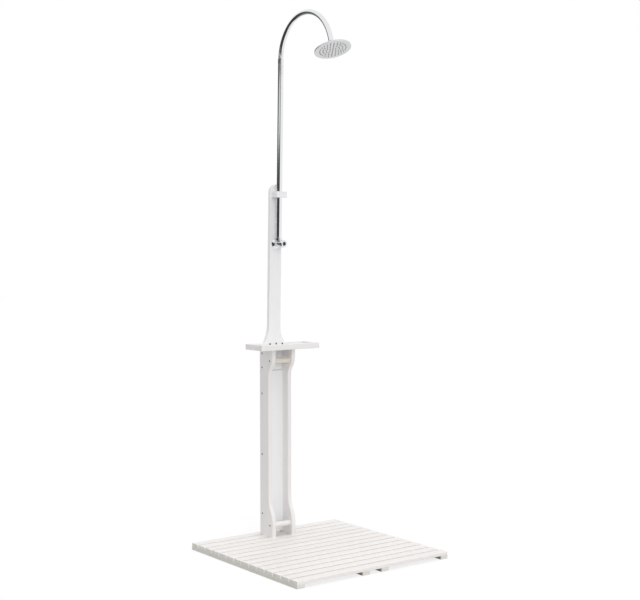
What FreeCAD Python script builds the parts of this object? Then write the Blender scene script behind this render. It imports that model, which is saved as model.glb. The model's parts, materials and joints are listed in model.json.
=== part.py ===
"""Outdoor shower post: slatted deck, open-fronted column, tray, mast board, valve, gooseneck and head.

Frame: millimetres, +Z up, origin on the ground under the middle of the deck. The shower faces -Y:
the head hangs out to the front and the hose joins at the rear (+Y).
"""

import FreeCAD
import Part
import Sketcher
import math
import os

doc = FreeCAD.newDocument("shower_post")


# ---------------------------------------------------------------- sizes

class Size:
    """A value that carries its sheet formula along with the number it stands for."""

    def __init__(self, formula, value):
        self.formula = formula
        self.value = value

    def __add__(self, other):
        other = as_size(other)
        return Size(f"({self.formula} + {other.formula})", self.value + other.value)

    def __sub__(self, other):
        other = as_size(other)
        return Size(f"({self.formula} - {other.formula})", self.value - other.value)

    def __mul__(self, other):
        other = as_size(other)
        return Size(f"({self.formula} * {other.formula})", self.value * other.value)

    def __truediv__(self, other):
        other = as_size(other)
        return Size(f"({self.formula} / {other.formula})", self.value / other.value)

    def __neg__(self):
        return Size(f"(-1 * {self.formula})", -self.value)

    def __radd__(self, other):
        return as_size(other) + self

    def __rsub__(self, other):
        return as_size(other) - self

    def __rmul__(self, other):
        return as_size(other) * self


def as_size(value):
    return value if isinstance(value, Size) else Size(f"{value:.9g}", float(value))


def root(value):
    return Size(f"sqrt({value.formula})", math.sqrt(value.value))


def sine(angle):
    return Size(f"sin({angle.formula})", math.sin(math.radians(angle.value)))


def cosine(angle):
    return Size(f"cos({angle.formula})", math.cos(math.radians(angle.value)))


class Sizes:
    """The driving dimensions, one aliased cell each."""

    def __init__(self):
        self.sheet = doc.addObject("Spreadsheet::Sheet", "sizes")
        self.row = 0

    def group(self, title, **values):
        self.row += 1
        self.sheet.set(f"A{self.row}", title)
        for name, value in values.items():
            self.row += 1
            self.sheet.set(f"A{self.row}", name.replace("_", " "))
            self.sheet.set(f"B{self.row}", str(value))
            self.sheet.setAlias(f"B{self.row}", name)
            setattr(self, name, Size(f"sizes.{name}", float(value)))


size = Sizes()
size.group(
    "Deck",
    deck_width=760, slat_count=14, slat_width=45, slat_thickness=14, slat_edge=2.5,
    bearer_width=35, bearer_height=14.5, inner_bearer=47.5,
)
size.group(
    "Column",
    board_thickness=18, column_width=120.5, column_top=841.5, column_front=243, column_rear=338,
    waist_depth=30, lower_waist_start=85, lower_waist_end=195,
    upper_waist_start=724, upper_waist_end=804,
    board_front=313.5, back_panel_bottom=40, back_panel_top=744, board_ease=1.5, seam_ease=2.5,
    rail_diameter=24, rail_front=265.5, upper_rail=790, lower_rail=79,
)
size.group(
    "Screws",
    screw_shank=2, screw_hole=2.1, screw_head=3.9, screw_head_depth=2.4,
    screw_recess=4.4, screw_recess_depth=3, screw_grip=20,
    bolt_shank=3, bolt_hole=3.1, bolt_head=6.4, bolt_head_depth=3.4, bolt_recess=7,
    bolt_recess_depth=4.2, bolt_top=90, bolt_front=258, bolt_rear=314,
)
size.group(
    "Tray",
    tray_width=302, tray_front=190, tray_back=311.6, rim_height=24, rim_thickness=12,
    rim_edge=2, tray_floor_thickness=9, tray_screw_spread=32, tray_screw_height=18.5,
    tray_screw_rise=1, floor_screw_front=262, floor_screw_rear=286,
)
size.group(
    "Mast board, leaning forward about the screws of its tongue",
    lean=1.4, pivot_height=798, mast_width=60, mast_top=1550, tongue_bottom=745,
    tongue_play=0.3, shoulder_play=0.1, flare_top=945, flare_radius=150,
    block_width=52, block_depth=44, block_height=26, block_level=1506.5, block_edge=3,
    block_screw_spread=19,
)
size.group(
    "Pipes",
    pipe_offset=23, riser_radius=12, riser_wall=1, riser_top=2051,
    sleeve_radius=12.4, sleeve_top=2085, spigot_length=25, seat_rise=4,
    neck_radius=11, neck_wall=1.2, rising_bend=173, falling_bend=186, falling_sweep=75,
)
size.group(
    "Valve",
    valve_height=1295, flange_radius=22, flange_depth=7, valve_radius=13, valve_reach=44,
    shank_radius=10.4, shank_end=31.5, inlet_radius=6, seat_depth=12, chamber_radius=9,
    disc_thickness=2.8, port_radius=2.4, port_spread=4.4, spindle_radius=4,
    boss_radius=10.4, boss_top=20, outlet_radius=7, nut_radius=14.5, nut_bottom=13.4, nut_top=25.4,
    knob_radius=16.5, knob_back=47.6, knob_front=64.5, cap_radius=8,
    washer_radius=16, washer_thickness=1.6, backnut_flats=28, backnut_thickness=6,
    hose_body_radius=13, hose_body_start=26, hose_body_end=33.5, hose_nose_radius=8.3,
    hose_nose_start=37, hose_nose_end=48,
)
size.group(
    "Shower head, about the middle of its ball",
    ball_radius=9, ball_drop=14, ball_neck=5.5, seat_play=0.08, seat_ring=1.2, spray_angle=20,
    head_radius=76, head_depth=27, head_bore=5, collar_radius=12.3, swivel_radius=14.5,
    nozzle_pitch=13.6, nozzle_rings=4,
    nozzle_base=2.2, nozzle_length=5, nozzle_taper=7, face_thickness=2, mat_thickness=1.5,
)

deck_top = size.bearer_height + size.slat_thickness
slat_pitch = (size.deck_width - size.slat_width) / (size.slat_count - 1)
column_half = size.column_width / 2
panel_middle = column_half - size.board_thickness / 2
board_middle = size.board_front + size.board_thickness / 2
outer_bearer = (size.deck_width - size.bearer_width) / 2
bearer_rows = [-outer_bearer, -size.inner_bearer, size.inner_bearer, outer_bearer]
tongue_screws = [820, 759]
back_panel_screws = [646, 382, 123]


def slat_middle(index):
    """Slats are counted from the rear edge of the deck."""
    return (size.deck_width - size.slat_width) / 2 - slat_pitch * index


def mast_level(height):
    """Height above the floor turned into height above the mast's pivot."""
    return as_size(height) - size.pivot_height


def in_leaning_mast(forward, height):
    """A point of the upright column as the leaning mast board sees it: (behind its front face, level)."""
    back, up = as_size(forward) - size.board_front, mast_level(height)
    return (back * cosine(size.lean) + up * sine(size.lean), up * cosine(size.lean) - back * sine(size.lean))


# ---------------------------------------------------------------- drawing tools

def new_body(label):
    body = doc.addObject("PartDesign::Body", label)
    body.Label = label
    body.AllowCompound = True
    return body


def origin_feature(body, role):
    return next(item for item in body.Origin.OriginFeatures if item.Role == role)


def new_sketch(body, plane, level=0):
    """A sketch on one of the body's own origin planes, moved along the plane's normal."""
    sketch = body.newObject("Sketcher::SketchObject", f"{body.Label}_sketch")
    sketch.AttachmentSupport = (origin_feature(body, plane), [""])
    sketch.MapMode = "FlatFace"
    sketch.AttachmentOffset = FreeCAD.Placement(FreeCAD.Vector(0, 0, as_size(level).value), FreeCAD.Rotation())
    sketch.setExpression("AttachmentOffset.Base.z", as_size(level).formula)
    return sketch


def pin_point(sketch, shape, end, point):
    """Holds one end of a line, arc or circle at a place given by two sizes."""
    for kind, axis, value in (("DistanceX", -2, point[0]), ("DistanceY", -1, point[1])):
        if not isinstance(value, Size) and value == 0:
            sketch.addConstraint(Sketcher.Constraint("PointOnObject", shape, end, axis))
            continue
        value = as_size(value)
        index = sketch.addConstraint(Sketcher.Constraint(kind, -1, 1, shape, end, value.value))
        sketch.setExpression(f"Constraints[{index}]", value.formula)


def hold_radius(sketch, shape, radius):
    index = sketch.addConstraint(Sketcher.Constraint("Radius", shape, as_size(radius).value))
    sketch.setExpression(f"Constraints[{index}]", as_size(radius).formula)


def vector(point):
    return FreeCAD.Vector(as_size(point[0]).value, as_size(point[1]).value, 0)


def arc_between(start, end, radius, turn):
    """The short arc from start to end; turn is +1 when it bends left, -1 when it bends right."""
    chord = end - start
    half = chord.Length / 2
    normal = FreeCAD.Vector(-chord.y, chord.x, 0).normalize() * turn
    centre = start + chord * 0.5 + normal * math.sqrt(max(radius * radius - half * half, 0))
    first, last = (start, end) if turn > 0 else (end, start)
    angles = [math.atan2(p.y - centre.y, p.x - centre.x) for p in (first, last)]
    if angles[1] < angles[0]:
        angles[1] += 2 * math.pi
    circle = Part.Circle(centre, FreeCAD.Vector(0, 0, 1), radius)
    return Part.ArcOfCircle(circle, angles[0], angles[1])


def outline(sketch, steps, closed=True):
    """Draws a chain of lines and arcs. Each step is (x, y) or (x, y, radius, turn): the arc that reaches it."""
    pieces = []
    pairs = list(zip(steps, steps[1:] + steps[:1])) if closed else list(zip(steps, steps[1:]))
    for here, there in pairs:
        start, end = vector(here), vector(there)
        if len(there) == 4:
            shape = sketch.addGeometry(arc_between(start, end, as_size(there[2]).value, there[3]))
            ends = (1, 2) if there[3] > 0 else (2, 1)
            hold_radius(sketch, shape, there[2])
        else:
            shape = sketch.addGeometry(Part.LineSegment(start, end))
            ends = (1, 2)
        pieces.append((shape, ends))
        pin_point(sketch, shape, ends[0], here)
    for (shape, ends), (following, next_ends) in zip(pieces, pieces[1:]):
        sketch.addConstraint(Sketcher.Constraint("Coincident", shape, ends[1], following, next_ends[0]))
    if closed:
        (shape, ends), (following, next_ends) = pieces[-1], pieces[0]
        sketch.addConstraint(Sketcher.Constraint("Coincident", shape, ends[1], following, next_ends[0]))
    else:
        pin_point(sketch, pieces[-1][0], pieces[-1][1][1], steps[-1])
    return sketch


def circles(sketch, points, radius):
    for point in points:
        shape = sketch.addGeometry(
            Part.Circle(vector(point), FreeCAD.Vector(0, 0, 1), as_size(radius).value))
        pin_point(sketch, shape, 3, point)
        hold_radius(sketch, shape, radius)
    return sketch


def rectangle(sketch, left, right, low, high):
    return outline(sketch, [(left, low), (right, low), (right, high), (left, high)])


def extrude(body, kind, sketch, length, middle=False, reverse=False, taper=None):
    feature = body.newObject(f"PartDesign::{kind}", f"{body.Label}_{kind.lower()}")
    feature.Profile = sketch
    feature.Length = as_size(length).value
    feature.setExpression("Length", as_size(length).formula)
    feature.SideType = "Symmetric" if middle else "One side"
    feature.Reversed = reverse
    if taper is not None:
        feature.setExpression("TaperAngle", as_size(taper).formula)
    sketch.Visibility = False
    return feature


def pad(body, sketch, length, **options):
    return extrude(body, "Pad", sketch, length, **options)


def pocket(body, sketch, length, **options):
    """Cuts against the plane's normal, or along it with reverse, and must take material away."""
    doc.recompute()
    before = body.Shape.Volume
    feature = extrude(body, "Pocket", sketch, length, **options)
    doc.recompute()
    if body.Shape.Volume > before - 1e-6:
        raise RuntimeError(f"a pocket in {body.Label} cuts nothing")
    return feature


def spin(body, sketch, kind="Revolution", axis="V_Axis"):
    feature = body.newObject(f"PartDesign::{kind}", f"{body.Label}_{kind.lower()}")
    feature.Profile = sketch
    feature.ReferenceAxis = (sketch, [axis])
    feature.Angle = 360
    return feature


def turned(body, plane, axis_level, steps):
    """Revolves a profile of (distance along the axis, radius) about a level line of the YZ plane."""
    sketch = new_sketch(body, plane)
    level = as_size(axis_level)
    line = sketch.addGeometry(
        Part.LineSegment(FreeCAD.Vector(-100, level.value, 0), FreeCAD.Vector(100, level.value, 0)), True)
    pin_point(sketch, line, 1, (-100, level))
    pin_point(sketch, line, 2, (100, level))
    outline(sketch, [(step[0], level + step[1]) + tuple(step[2:]) for step in steps])
    return spin(body, sketch, axis="Axis0")


def pattern(body, feature, axis, count, spacing, reverse=False):
    copies = body.newObject("PartDesign::LinearPattern", f"{body.Label}_row")
    copies.Originals = [feature]
    copies.Direction = (origin_feature(body, axis), [""])
    copies.Mode = "Spacing"
    copies.Reversed = reverse
    copies.setExpression("Offset", as_size(spacing).formula)
    copies.setExpression("Occurrences", as_size(count).formula)
    body.Tip = copies
    return copies


def mirrored(body, features, plane):
    copy = body.newObject("PartDesign::Mirrored", f"{body.Label}_mirror")
    copy.Originals = features
    copy.MirrorPlane = (origin_feature(body, plane), [""])
    body.Tip = copy
    return copy


def place(body, across=0, forward=0, up=0):
    for axis, value in zip("xyz", (across, forward, up)):
        body.setExpression(f"Placement.Base.{axis}", as_size(value).formula)


def lean_with_mast(body):
    """Mast pieces are drawn upright about the pivot, then leaned forward together."""
    body.Placement = FreeCAD.Placement(FreeCAD.Vector(), FreeCAD.Rotation(FreeCAD.Vector(1, 0, 0), size.lean.value))
    place(body, 0, size.board_front, size.pivot_height)
    body.setExpression("Placement.Rotation.Angle", size.lean.formula)


def tilt_about(body, angle, forward, up):
    """Puts a piece drawn about its own +Z axis at a point of the leaning mast, tipped about X."""
    body.Placement = FreeCAD.Placement(FreeCAD.Vector(), FreeCAD.Rotation(FreeCAD.Vector(1, 0, 0), 30))
    world_y = size.board_front + forward * cosine(size.lean) - up * sine(size.lean)
    world_z = size.pivot_height + forward * sine(size.lean) + up * cosine(size.lean)
    place(body, 0, world_y, world_z)
    body.setExpression("Placement.Rotation.Axis.x", "1")
    body.setExpression("Placement.Rotation.Angle", angle.formula)


def add_screws(body, plane, head_seat, points, length, into, sizes):
    """Plain-headed screws: heads stand on the seat level, shanks run from it along the plane's normal."""
    shank, head, head_depth = sizes
    heads = pad(body, circles(new_sketch(body, plane, head_seat), points, head), head_depth, reverse=into > 0)
    shanks = pad(body, circles(new_sketch(body, plane, head_seat), points, shank), length, reverse=into < 0)
    return [heads, shanks]


wood_screw = (size.screw_shank, size.screw_head, size.screw_head_depth)
deck_bolt = (size.bolt_shank, size.bolt_head, size.bolt_head_depth)


# ---------------------------------------------------------------- deck

def slat(index):
    """A rounded-topped board with screw holes from below, and bolt holes where the column stands."""
    body = new_body(f"slat_{index + 1:02d}")
    half, low, high, edge = size.slat_width / 2, size.bearer_height, deck_top, size.slat_edge
    section = outline(new_sketch(body, "YZ_Plane"), [
        (-half, low), (half, low), (half, high - edge), (half - edge, high, edge, 1),
        (edge - half, high), (-half, high - edge, edge, 1),
    ])
    pad(body, section, size.deck_width, middle=True)
    holes = circles(new_sketch(body, "XY_Plane", low), [(x, 0) for x in bearer_rows], size.screw_hole)
    pocket(body, holes, 9, reverse=True)
    for bolt in (size.bolt_front, size.bolt_rear):
        reach = bolt - slat_middle(index)
        if abs(reach.value) < half.value:
            points = [(-panel_middle, reach), (panel_middle, reach)]
            through = circles(new_sketch(body, "XY_Plane", low), points, size.bolt_hole)
            pocket(body, through, size.slat_thickness + 1, reverse=True)
    place(body, forward=slat_middle(index))


def bearer(index, middle):
    """A batten across the slats; its screw heads and bolt heads sit in recesses underneath."""
    body = new_body(f"bearer_{index + 1}")
    half = size.bearer_width / 2
    section = rectangle(new_sketch(body, "XZ_Plane"), -half, half, 0, size.bearer_height)
    pad(body, section, size.deck_width, middle=True)
    for radius, depth in ((size.screw_hole, size.bearer_height + 1), (size.screw_recess, size.screw_recess_depth)):
        drill = circles(new_sketch(body, "XY_Plane"), [(0, slat_middle(0))], radius)
        pattern(body, pocket(body, drill, depth, reverse=True), "Y_Axis", size.slat_count, slat_pitch, True)
    if abs(middle.value) < column_half.value:
        offset = panel_middle - size.inner_bearer
        points = [(offset if index == 2 else -offset, y) for y in (size.bolt_front, size.bolt_rear)]
        for radius, depth in ((size.bolt_hole, size.bearer_height + 1), (size.bolt_recess, size.bolt_recess_depth)):
            pocket(body, circles(new_sketch(body, "XY_Plane"), points, radius), depth, reverse=True)
    place(body, across=middle)


def slat_screws():
    """One screw up through every bearer into every slat."""
    body = new_body("slat_screws")
    points = [(x, slat_middle(0)) for x in bearer_rows]
    parts = add_screws(body, "XY_Plane", size.screw_recess_depth, points, size.screw_grip, 1, wood_screw)
    row = pattern(body, parts[0], "Y_Axis", size.slat_count, slat_pitch, True)
    row.Originals = parts


def deck_bolts():
    """Four long coach screws that hold the column's two side panels down on the deck."""
    body = new_body("deck_bolts")
    points = [(x, y) for x in (-panel_middle, panel_middle) for y in (size.bolt_front, size.bolt_rear)]
    length = size.bolt_top - size.bolt_recess_depth
    add_screws(body, "XY_Plane", size.bolt_recess_depth, points, length, 1, deck_bolt)


# ---------------------------------------------------------------- column

def column_screw_points():
    """Where screws enter the side panels: five down the rear edge and one at each rail."""
    rear = [(board_middle, as_size(level)) for level in tongue_screws + back_panel_screws]
    return rear + [(size.rail_front, size.upper_rail), (size.rail_front, size.lower_rail)]


def ease_edges(body, thickness_way, chosen):
    """Rounds the long arrises of an upright board on both its faces, wherever both ends are chosen."""
    doc.recompute()
    solid, names = body.Tip, []
    for number, edge in enumerate(solid.Shape.Edges, 1):
        first, last = edge.Vertexes[0].Point, edge.Vertexes[-1].Point
        in_face = abs((first - last).dot(FreeCAD.Vector(*thickness_way))) < 0.01
        if in_face and abs(first.z - last.z) > 1 and chosen(first) and chosen(last):
            names.append("Edge%d" % number)
    fillet = body.newObject("PartDesign::Fillet", "EasedEdges")
    fillet.Base = (solid, names)
    fillet.setExpression("Radius", size.board_ease.formula)


def ease_seam(body, level):
    """Rounds the front arris that runs across a board at a level, where it meets the next board."""
    doc.recompute()
    solid, arrises = body.Tip, []
    for number, edge in enumerate(solid.Shape.Edges, 1):
        first, last = edge.Vertexes[0].Point, edge.Vertexes[-1].Point
        if max(abs(first.z - level), abs(last.z - level), abs(first.y - last.y)) < 0.01:
            arrises.append((first.y, "Edge%d" % number))
    fillet = body.newObject("PartDesign::Fillet", "EasedSeam")
    fillet.Base = (solid, [min(arrises)[1]])
    fillet.setExpression("Radius", size.seam_ease.formula)


def ogee_radius(length):
    return (length * length + size.waist_depth * size.waist_depth) / (4 * size.waist_depth)


def side_panel(label, side):
    """A column side: full depth at its head and foot, drawn in to a waist by an ogee at each end."""
    body = new_body(label)
    front, rear, waist = size.column_front, size.column_rear, size.column_front + size.waist_depth
    low, low_end, high, high_end = (
        size.lower_waist_start, size.lower_waist_end, size.upper_waist_start, size.upper_waist_end)
    low_bend, high_bend = ogee_radius(low_end - low), ogee_radius(high_end - high)
    between = (front + waist) / 2
    shape = outline(new_sketch(body, "YZ_Plane"), [
        (rear, deck_top), (rear, size.column_top), (front, size.column_top),
        (front, high_end), (between, (high + high_end) / 2, high_bend, 1), (waist, high, high_bend, -1),
        (waist, low_end), (between, (low + low_end) / 2, low_bend, -1), (front, low, low_bend, 1),
        (front, deck_top),
    ])
    pad(body, shape, size.board_thickness, middle=True)
    ease_edges(body, (1, 0, 0), lambda end: end.y < waist.value + 1)
    outer = size.board_thickness / 2 * side
    drill = circles(new_sketch(body, "YZ_Plane", outer), column_screw_points(), size.screw_hole)
    pocket(body, drill, size.board_thickness + 1, reverse=side < 0)
    recess = circles(new_sketch(body, "YZ_Plane", outer), column_screw_points(), size.screw_recess)
    pocket(body, recess, size.screw_recess_depth, reverse=side < 0)
    bolts = [(0, size.bolt_front), (0, size.bolt_rear)]
    pocket(body, circles(new_sketch(body, "XY_Plane", deck_top), bolts, size.bolt_hole),
           size.bolt_top - deck_top + 2, reverse=True)
    floor_screws = [(0, size.floor_screw_front), (0, size.floor_screw_rear)]
    pocket(body, circles(new_sketch(body, "XY_Plane", size.column_top), floor_screws, size.screw_hole), 20)
    place(body, across=panel_middle * side)


def drill_ends(body, points, half_length):
    """Blind screw holes from both ends of a piece that spans the column."""
    for end in (-1, 1):
        holes = circles(new_sketch(body, "YZ_Plane", half_length * end), points, size.screw_hole)
        pocket(body, holes, size.screw_grip, reverse=end < 0)


def back_panel():
    """The lower back board between the side panels, clear of the deck at its foot."""
    body = new_body("back_panel")
    half = column_half - size.board_thickness
    face = rectangle(new_sketch(body, "XZ_Plane"), -half, half, size.back_panel_bottom, size.back_panel_top)
    pad(body, face, size.board_thickness, middle=True)
    ease_seam(body, size.back_panel_top.value)
    drill_ends(body, [(0, as_size(level)) for level in back_panel_screws], half)
    place(body, forward=board_middle)


def rail(label, level):
    """A round bar between the side panels."""
    body = new_body(label)
    half = column_half - size.board_thickness
    pad(body, circles(new_sketch(body, "YZ_Plane"), [(0, 0)], size.rail_diameter / 2), half * 2, middle=True)
    drill_ends(body, [(0, 0)], half)
    place(body, forward=size.rail_front, up=level)


def column_screws():
    body = new_body("column_screws")
    seat = column_half - size.screw_recess_depth
    length = size.board_thickness - size.screw_recess_depth + size.screw_grip - 1
    parts = add_screws(body, "YZ_Plane", seat, column_screw_points(), length, -1, wood_screw)
    mirrored(body, parts, "YZ_Plane")


# ---------------------------------------------------------------- tray

def rim_section(thickness):
    half, low, high, edge = thickness / 2, size.column_top, size.column_top + size.rim_height, size.rim_edge
    return [
        (-half, low), (half, low), (half, high - edge), (half - edge, high, edge, 1),
        (edge - half, high), (-half, high - edge, edge, 1),
    ]


def tray_screw_points():
    level = size.column_top + size.tray_screw_height
    return [(-size.tray_screw_spread, level), (0, level + size.tray_screw_rise), (size.tray_screw_spread, level)]


def long_rim(label, forward):
    """The front and rear rims run the whole width of the tray."""
    body = new_body(label)
    pad(body, outline(new_sketch(body, "YZ_Plane"), rim_section(size.rim_thickness)), size.tray_width, middle=True)
    if label == "tray_rear_rim":
        inner = size.rim_thickness / 2
        drill = circles(new_sketch(body, "XZ_Plane", inner), tray_screw_points(), size.screw_hole)
        pocket(body, drill, size.rim_thickness + 1)
        recess = circles(new_sketch(body, "XZ_Plane", inner), tray_screw_points(), size.screw_recess)
        pocket(body, recess, size.screw_recess_depth)
    place(body, forward=forward)


def short_rim(label, side):
    """The side rims stand between the long ones."""
    body = new_body(label)
    length = size.tray_back - size.tray_front - size.rim_thickness * 2
    pad(body, outline(new_sketch(body, "XZ_Plane"), rim_section(size.rim_thickness)), length, middle=True)
    across = (size.tray_width - size.rim_thickness) / 2 * side
    place(body, across=across, forward=(size.tray_front + size.tray_back) / 2)


def tray_floor():
    """The tray's bottom board, screwed down into the tops of the side panels."""
    body = new_body("tray_floor")
    half = size.tray_width / 2 - size.rim_thickness
    front, rear = size.tray_front + size.rim_thickness, size.tray_back - size.rim_thickness
    board = rectangle(new_sketch(body, "XY_Plane", size.column_top), -half, half, front, rear)
    pad(body, board, size.tray_floor_thickness)
    top = size.column_top + size.tray_floor_thickness
    points = [(x, y) for x in (-panel_middle, panel_middle) for y in (size.floor_screw_front, size.floor_screw_rear)]
    pocket(body, circles(new_sketch(body, "XY_Plane", top), points, size.screw_hole), size.tray_floor_thickness + 1)
    pocket(body, circles(new_sketch(body, "XY_Plane", top), points, size.screw_recess), size.screw_recess_depth)


def tray_screws():
    """Four screws down into the side panels and three back into the mast board."""
    body = new_body("tray_screws")
    points = [(x, y) for x in (-panel_middle, panel_middle) for y in (size.floor_screw_front, size.floor_screw_rear)]
    seat = size.column_top + size.tray_floor_thickness - size.screw_recess_depth
    add_screws(body, "XY_Plane", seat, points, size.screw_grip + 2, -1, wood_screw)
    rim_seat = size.tray_back - size.rim_thickness + size.screw_recess_depth
    add_screws(body, "XZ_Plane", -rim_seat, tray_screw_points(), size.screw_grip, -1, wood_screw)


# ---------------------------------------------------------------- mast

def mast_board():
    """The upper board: a tongue between the side panels, shoulders on their tops, a flare and a round head."""
    body = new_body("mast_board")
    tongue, shoulder, half = column_half - size.board_thickness - size.tongue_play, column_half, size.mast_width / 2
    foot, ledge = mast_level(size.tongue_bottom), mast_level(size.column_top + size.shoulder_play)
    flare_top, round_level = mast_level(size.flare_top), mast_level(size.mast_top - half)
    run = size.flare_radius - (shoulder - half)
    flare_low = flare_top - root(size.flare_radius * size.flare_radius - run * run)
    face = outline(new_sketch(body, "XZ_Plane"), [
        (-tongue, foot), (tongue, foot), (tongue, ledge), (shoulder, ledge), (shoulder, flare_low),
        (half, flare_top, size.flare_radius, -1), (half, round_level), (0, round_level + half, half, 1),
        (-half, round_level, half, 1), (-half, flare_top), (-shoulder, flare_low, size.flare_radius, -1),
        (-shoulder, ledge), (-tongue, ledge),
    ])
    pad(body, face, size.board_thickness, reverse=True)
    ease_edges(body, (0, 1, 0), lambda end: end.z > flare_low.value - 1)
    ease_seam(body, foot.value)
    valve, block = mast_level(size.valve_height), mast_level(size.block_level)
    depth = size.board_thickness + 1
    pocket(body, circles(new_sketch(body, "XZ_Plane"), [(0, valve)], size.shank_radius + 0.3), depth)
    ends = [(-size.block_screw_spread, block), (size.block_screw_spread, block)]
    pocket(body, circles(new_sketch(body, "XZ_Plane"), ends, size.screw_hole), depth)
    behind = new_sketch(body, "XZ_Plane", -size.board_thickness)
    pocket(body, circles(behind, ends, size.screw_recess), size.screw_recess_depth, reverse=True)
    screws = [(x, mast_level(z)) for x, z in tray_screw_points()]
    pocket(body, circles(new_sketch(body, "XZ_Plane"), screws, size.screw_hole + 0.2), 14)
    drill_ends(body, [in_leaning_mast(board_middle, level) for level in tongue_screws], tongue)
    lean_with_mast(body)


def pipe_block():
    """The wooden block that holds the riser off the mast board."""
    body = new_body("pipe_block")
    half, depth, edge = size.block_width / 2, size.block_depth, size.block_edge
    bottom = mast_level(size.block_level) - size.block_height / 2
    plan = outline(new_sketch(body, "XY_Plane", bottom), [
        (-half, 0), (-half, edge - depth), (edge - half, -depth, edge, 1),
        (half - edge, -depth), (half, edge - depth, edge, 1), (half, 0),
    ])
    pad(body, plan, size.block_height)
    bore = circles(new_sketch(body, "XY_Plane", bottom), [(0, -size.pipe_offset)], size.riser_radius + 0.15)
    pocket(body, bore, size.block_height + 1, reverse=True)
    ends = [(x, mast_level(size.block_level)) for x in (-size.block_screw_spread, size.block_screw_spread)]
    pocket(body, circles(new_sketch(body, "XZ_Plane"), ends, size.screw_hole), size.screw_grip, reverse=True)
    lean_with_mast(body)


def block_screws():
    body = new_body("block_screws")
    ends = [(x, mast_level(size.block_level)) for x in (-size.block_screw_spread, size.block_screw_spread)]
    seat = size.screw_recess_depth - size.board_thickness
    length = size.board_thickness - size.screw_recess_depth + size.screw_grip - 1
    add_screws(body, "XZ_Plane", seat, ends, length, 1, wood_screw)
    lean_with_mast(body)


# ---------------------------------------------------------------- pipes

def riser_pipe():
    """The straight pipe, with a collar at its foot for the union nut."""
    body = new_body("riser_pipe")
    low = mast_level(size.valve_height + size.boss_top) + 1.5
    high = mast_level(size.riser_top)
    outer, inner, axis = size.riser_radius, size.riser_radius - size.riser_wall, (0, -size.pipe_offset)
    tube = circles(circles(new_sketch(body, "XY_Plane", low), [axis], outer), [axis], inner)
    pad(body, tube, high - low)
    collar = circles(circles(new_sketch(body, "XY_Plane", low), [axis], outer + 0.9), [axis], inner)
    pad(body, collar, 1.5)
    lean_with_mast(body)


def coupling_sleeve():
    """Joins the two pipes: a spigot down into the riser and a socket up round the gooseneck."""
    body = new_body("coupling_sleeve")
    top, step = mast_level(size.sleeve_top), mast_level(size.riser_top)
    foot, seat = step - size.spigot_length, step + size.seat_rise
    spigot, bore, socket = size.riser_radius - size.riser_wall - 0.05, size.neck_radius - 1.7, size.neck_radius + 0.05
    profile = new_sketch(body, "XZ_Plane", size.pipe_offset)
    outline(profile, [
        (bore, foot), (spigot, foot), (spigot, step), (size.sleeve_radius, step),
        (size.sleeve_radius, top), (socket, top), (socket, seat), (bore, seat),
    ])
    spin(body, profile)
    lean_with_mast(body)


def neck_spine(sketch):
    """Straight out of the sleeve, over the top in two bends, and down towards the head."""
    foot = mast_level(size.riser_top) + size.seat_rise
    start, axis = mast_level(size.sleeve_top), -size.pipe_offset
    top = start + size.rising_bend
    end_y, end_z = neck_end()
    outline(sketch, [
        (axis, foot), (axis, start), (axis - size.rising_bend, top, size.rising_bend, 1),
        (end_y, end_z, size.falling_bend, 1),
    ], closed=False)
    return sketch


def neck_end():
    """Where the gooseneck stops, in the mast's upright frame."""
    top = mast_level(size.sleeve_top) + size.rising_bend
    forward = -size.pipe_offset - size.rising_bend - size.falling_bend * sine(size.falling_sweep)
    return forward, top - size.falling_bend + size.falling_bend * cosine(size.falling_sweep)


def ball_place():
    """The middle of the ball, straight on from the end of the gooseneck."""
    forward, up = neck_end()
    tip = 90 - size.falling_sweep
    return forward - size.ball_drop * sine(tip), up - size.ball_drop * cosine(tip)


def gooseneck_pipe():
    body = new_body("gooseneck_pipe")
    foot = mast_level(size.riser_top) + size.seat_rise
    axis = (0, -size.pipe_offset)
    ring = circles(new_sketch(body, "XY_Plane", foot), [axis], size.neck_radius)
    circles(ring, [axis], size.neck_radius - size.neck_wall)
    spine = neck_spine(new_sketch(body, "YZ_Plane"))
    pipe = body.newObject("PartDesign::AdditivePipe", "gooseneck_sweep")
    pipe.Profile = ring
    pipe.Spine = spine
    lean_with_mast(body)


# ---------------------------------------------------------------- valve, about an axis along Y

def valve_turned(label, steps):
    """A turned valve piece; steps are (distance in front of the board, radius)."""
    body = new_body(label)
    axis = mast_level(size.valve_height)
    turned(body, "YZ_Plane", axis, [(-as_size(step[0]), as_size(step[1])) + tuple(step[2:]) for step in steps])
    lean_with_mast(body)
    return body


def wall_flange():
    """The dished rose that covers the hole in the board."""
    bore, rim = size.shank_radius + 0.2, size.flange_radius
    valve_turned("wall_flange", [
        (0, bore), (0, rim), (2, rim), (size.flange_depth, size.valve_radius + 0.5, 24, -1),
        (size.flange_depth, bore),
    ])


def valve_body():
    """The tap body: threaded shank through the board, chamber for the cartridge and a boss for the riser."""
    outer, shank = size.valve_radius, size.shank_radius
    body = valve_turned("valve_body", [
        (-size.shank_end, size.inlet_radius), (-size.shank_end, shank), (size.flange_depth + 0.2, shank),
        (size.flange_depth + 0.2, outer), (size.valve_reach, outer), (size.valve_reach, size.chamber_radius),
        (size.seat_depth, size.chamber_radius), (size.seat_depth, size.inlet_radius),
    ])
    axis = mast_level(size.valve_height)
    centre = [(0, -size.pipe_offset)]
    start = size.valve_radius - 4
    boss = circles(new_sketch(body, "XY_Plane", axis + start), centre, size.boss_radius)
    pad(body, boss, size.boss_top - start)
    outlet = circles(new_sketch(body, "XY_Plane", axis + size.boss_top), centre, size.outlet_radius)
    pocket(body, outlet, size.boss_top - 5)


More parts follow.
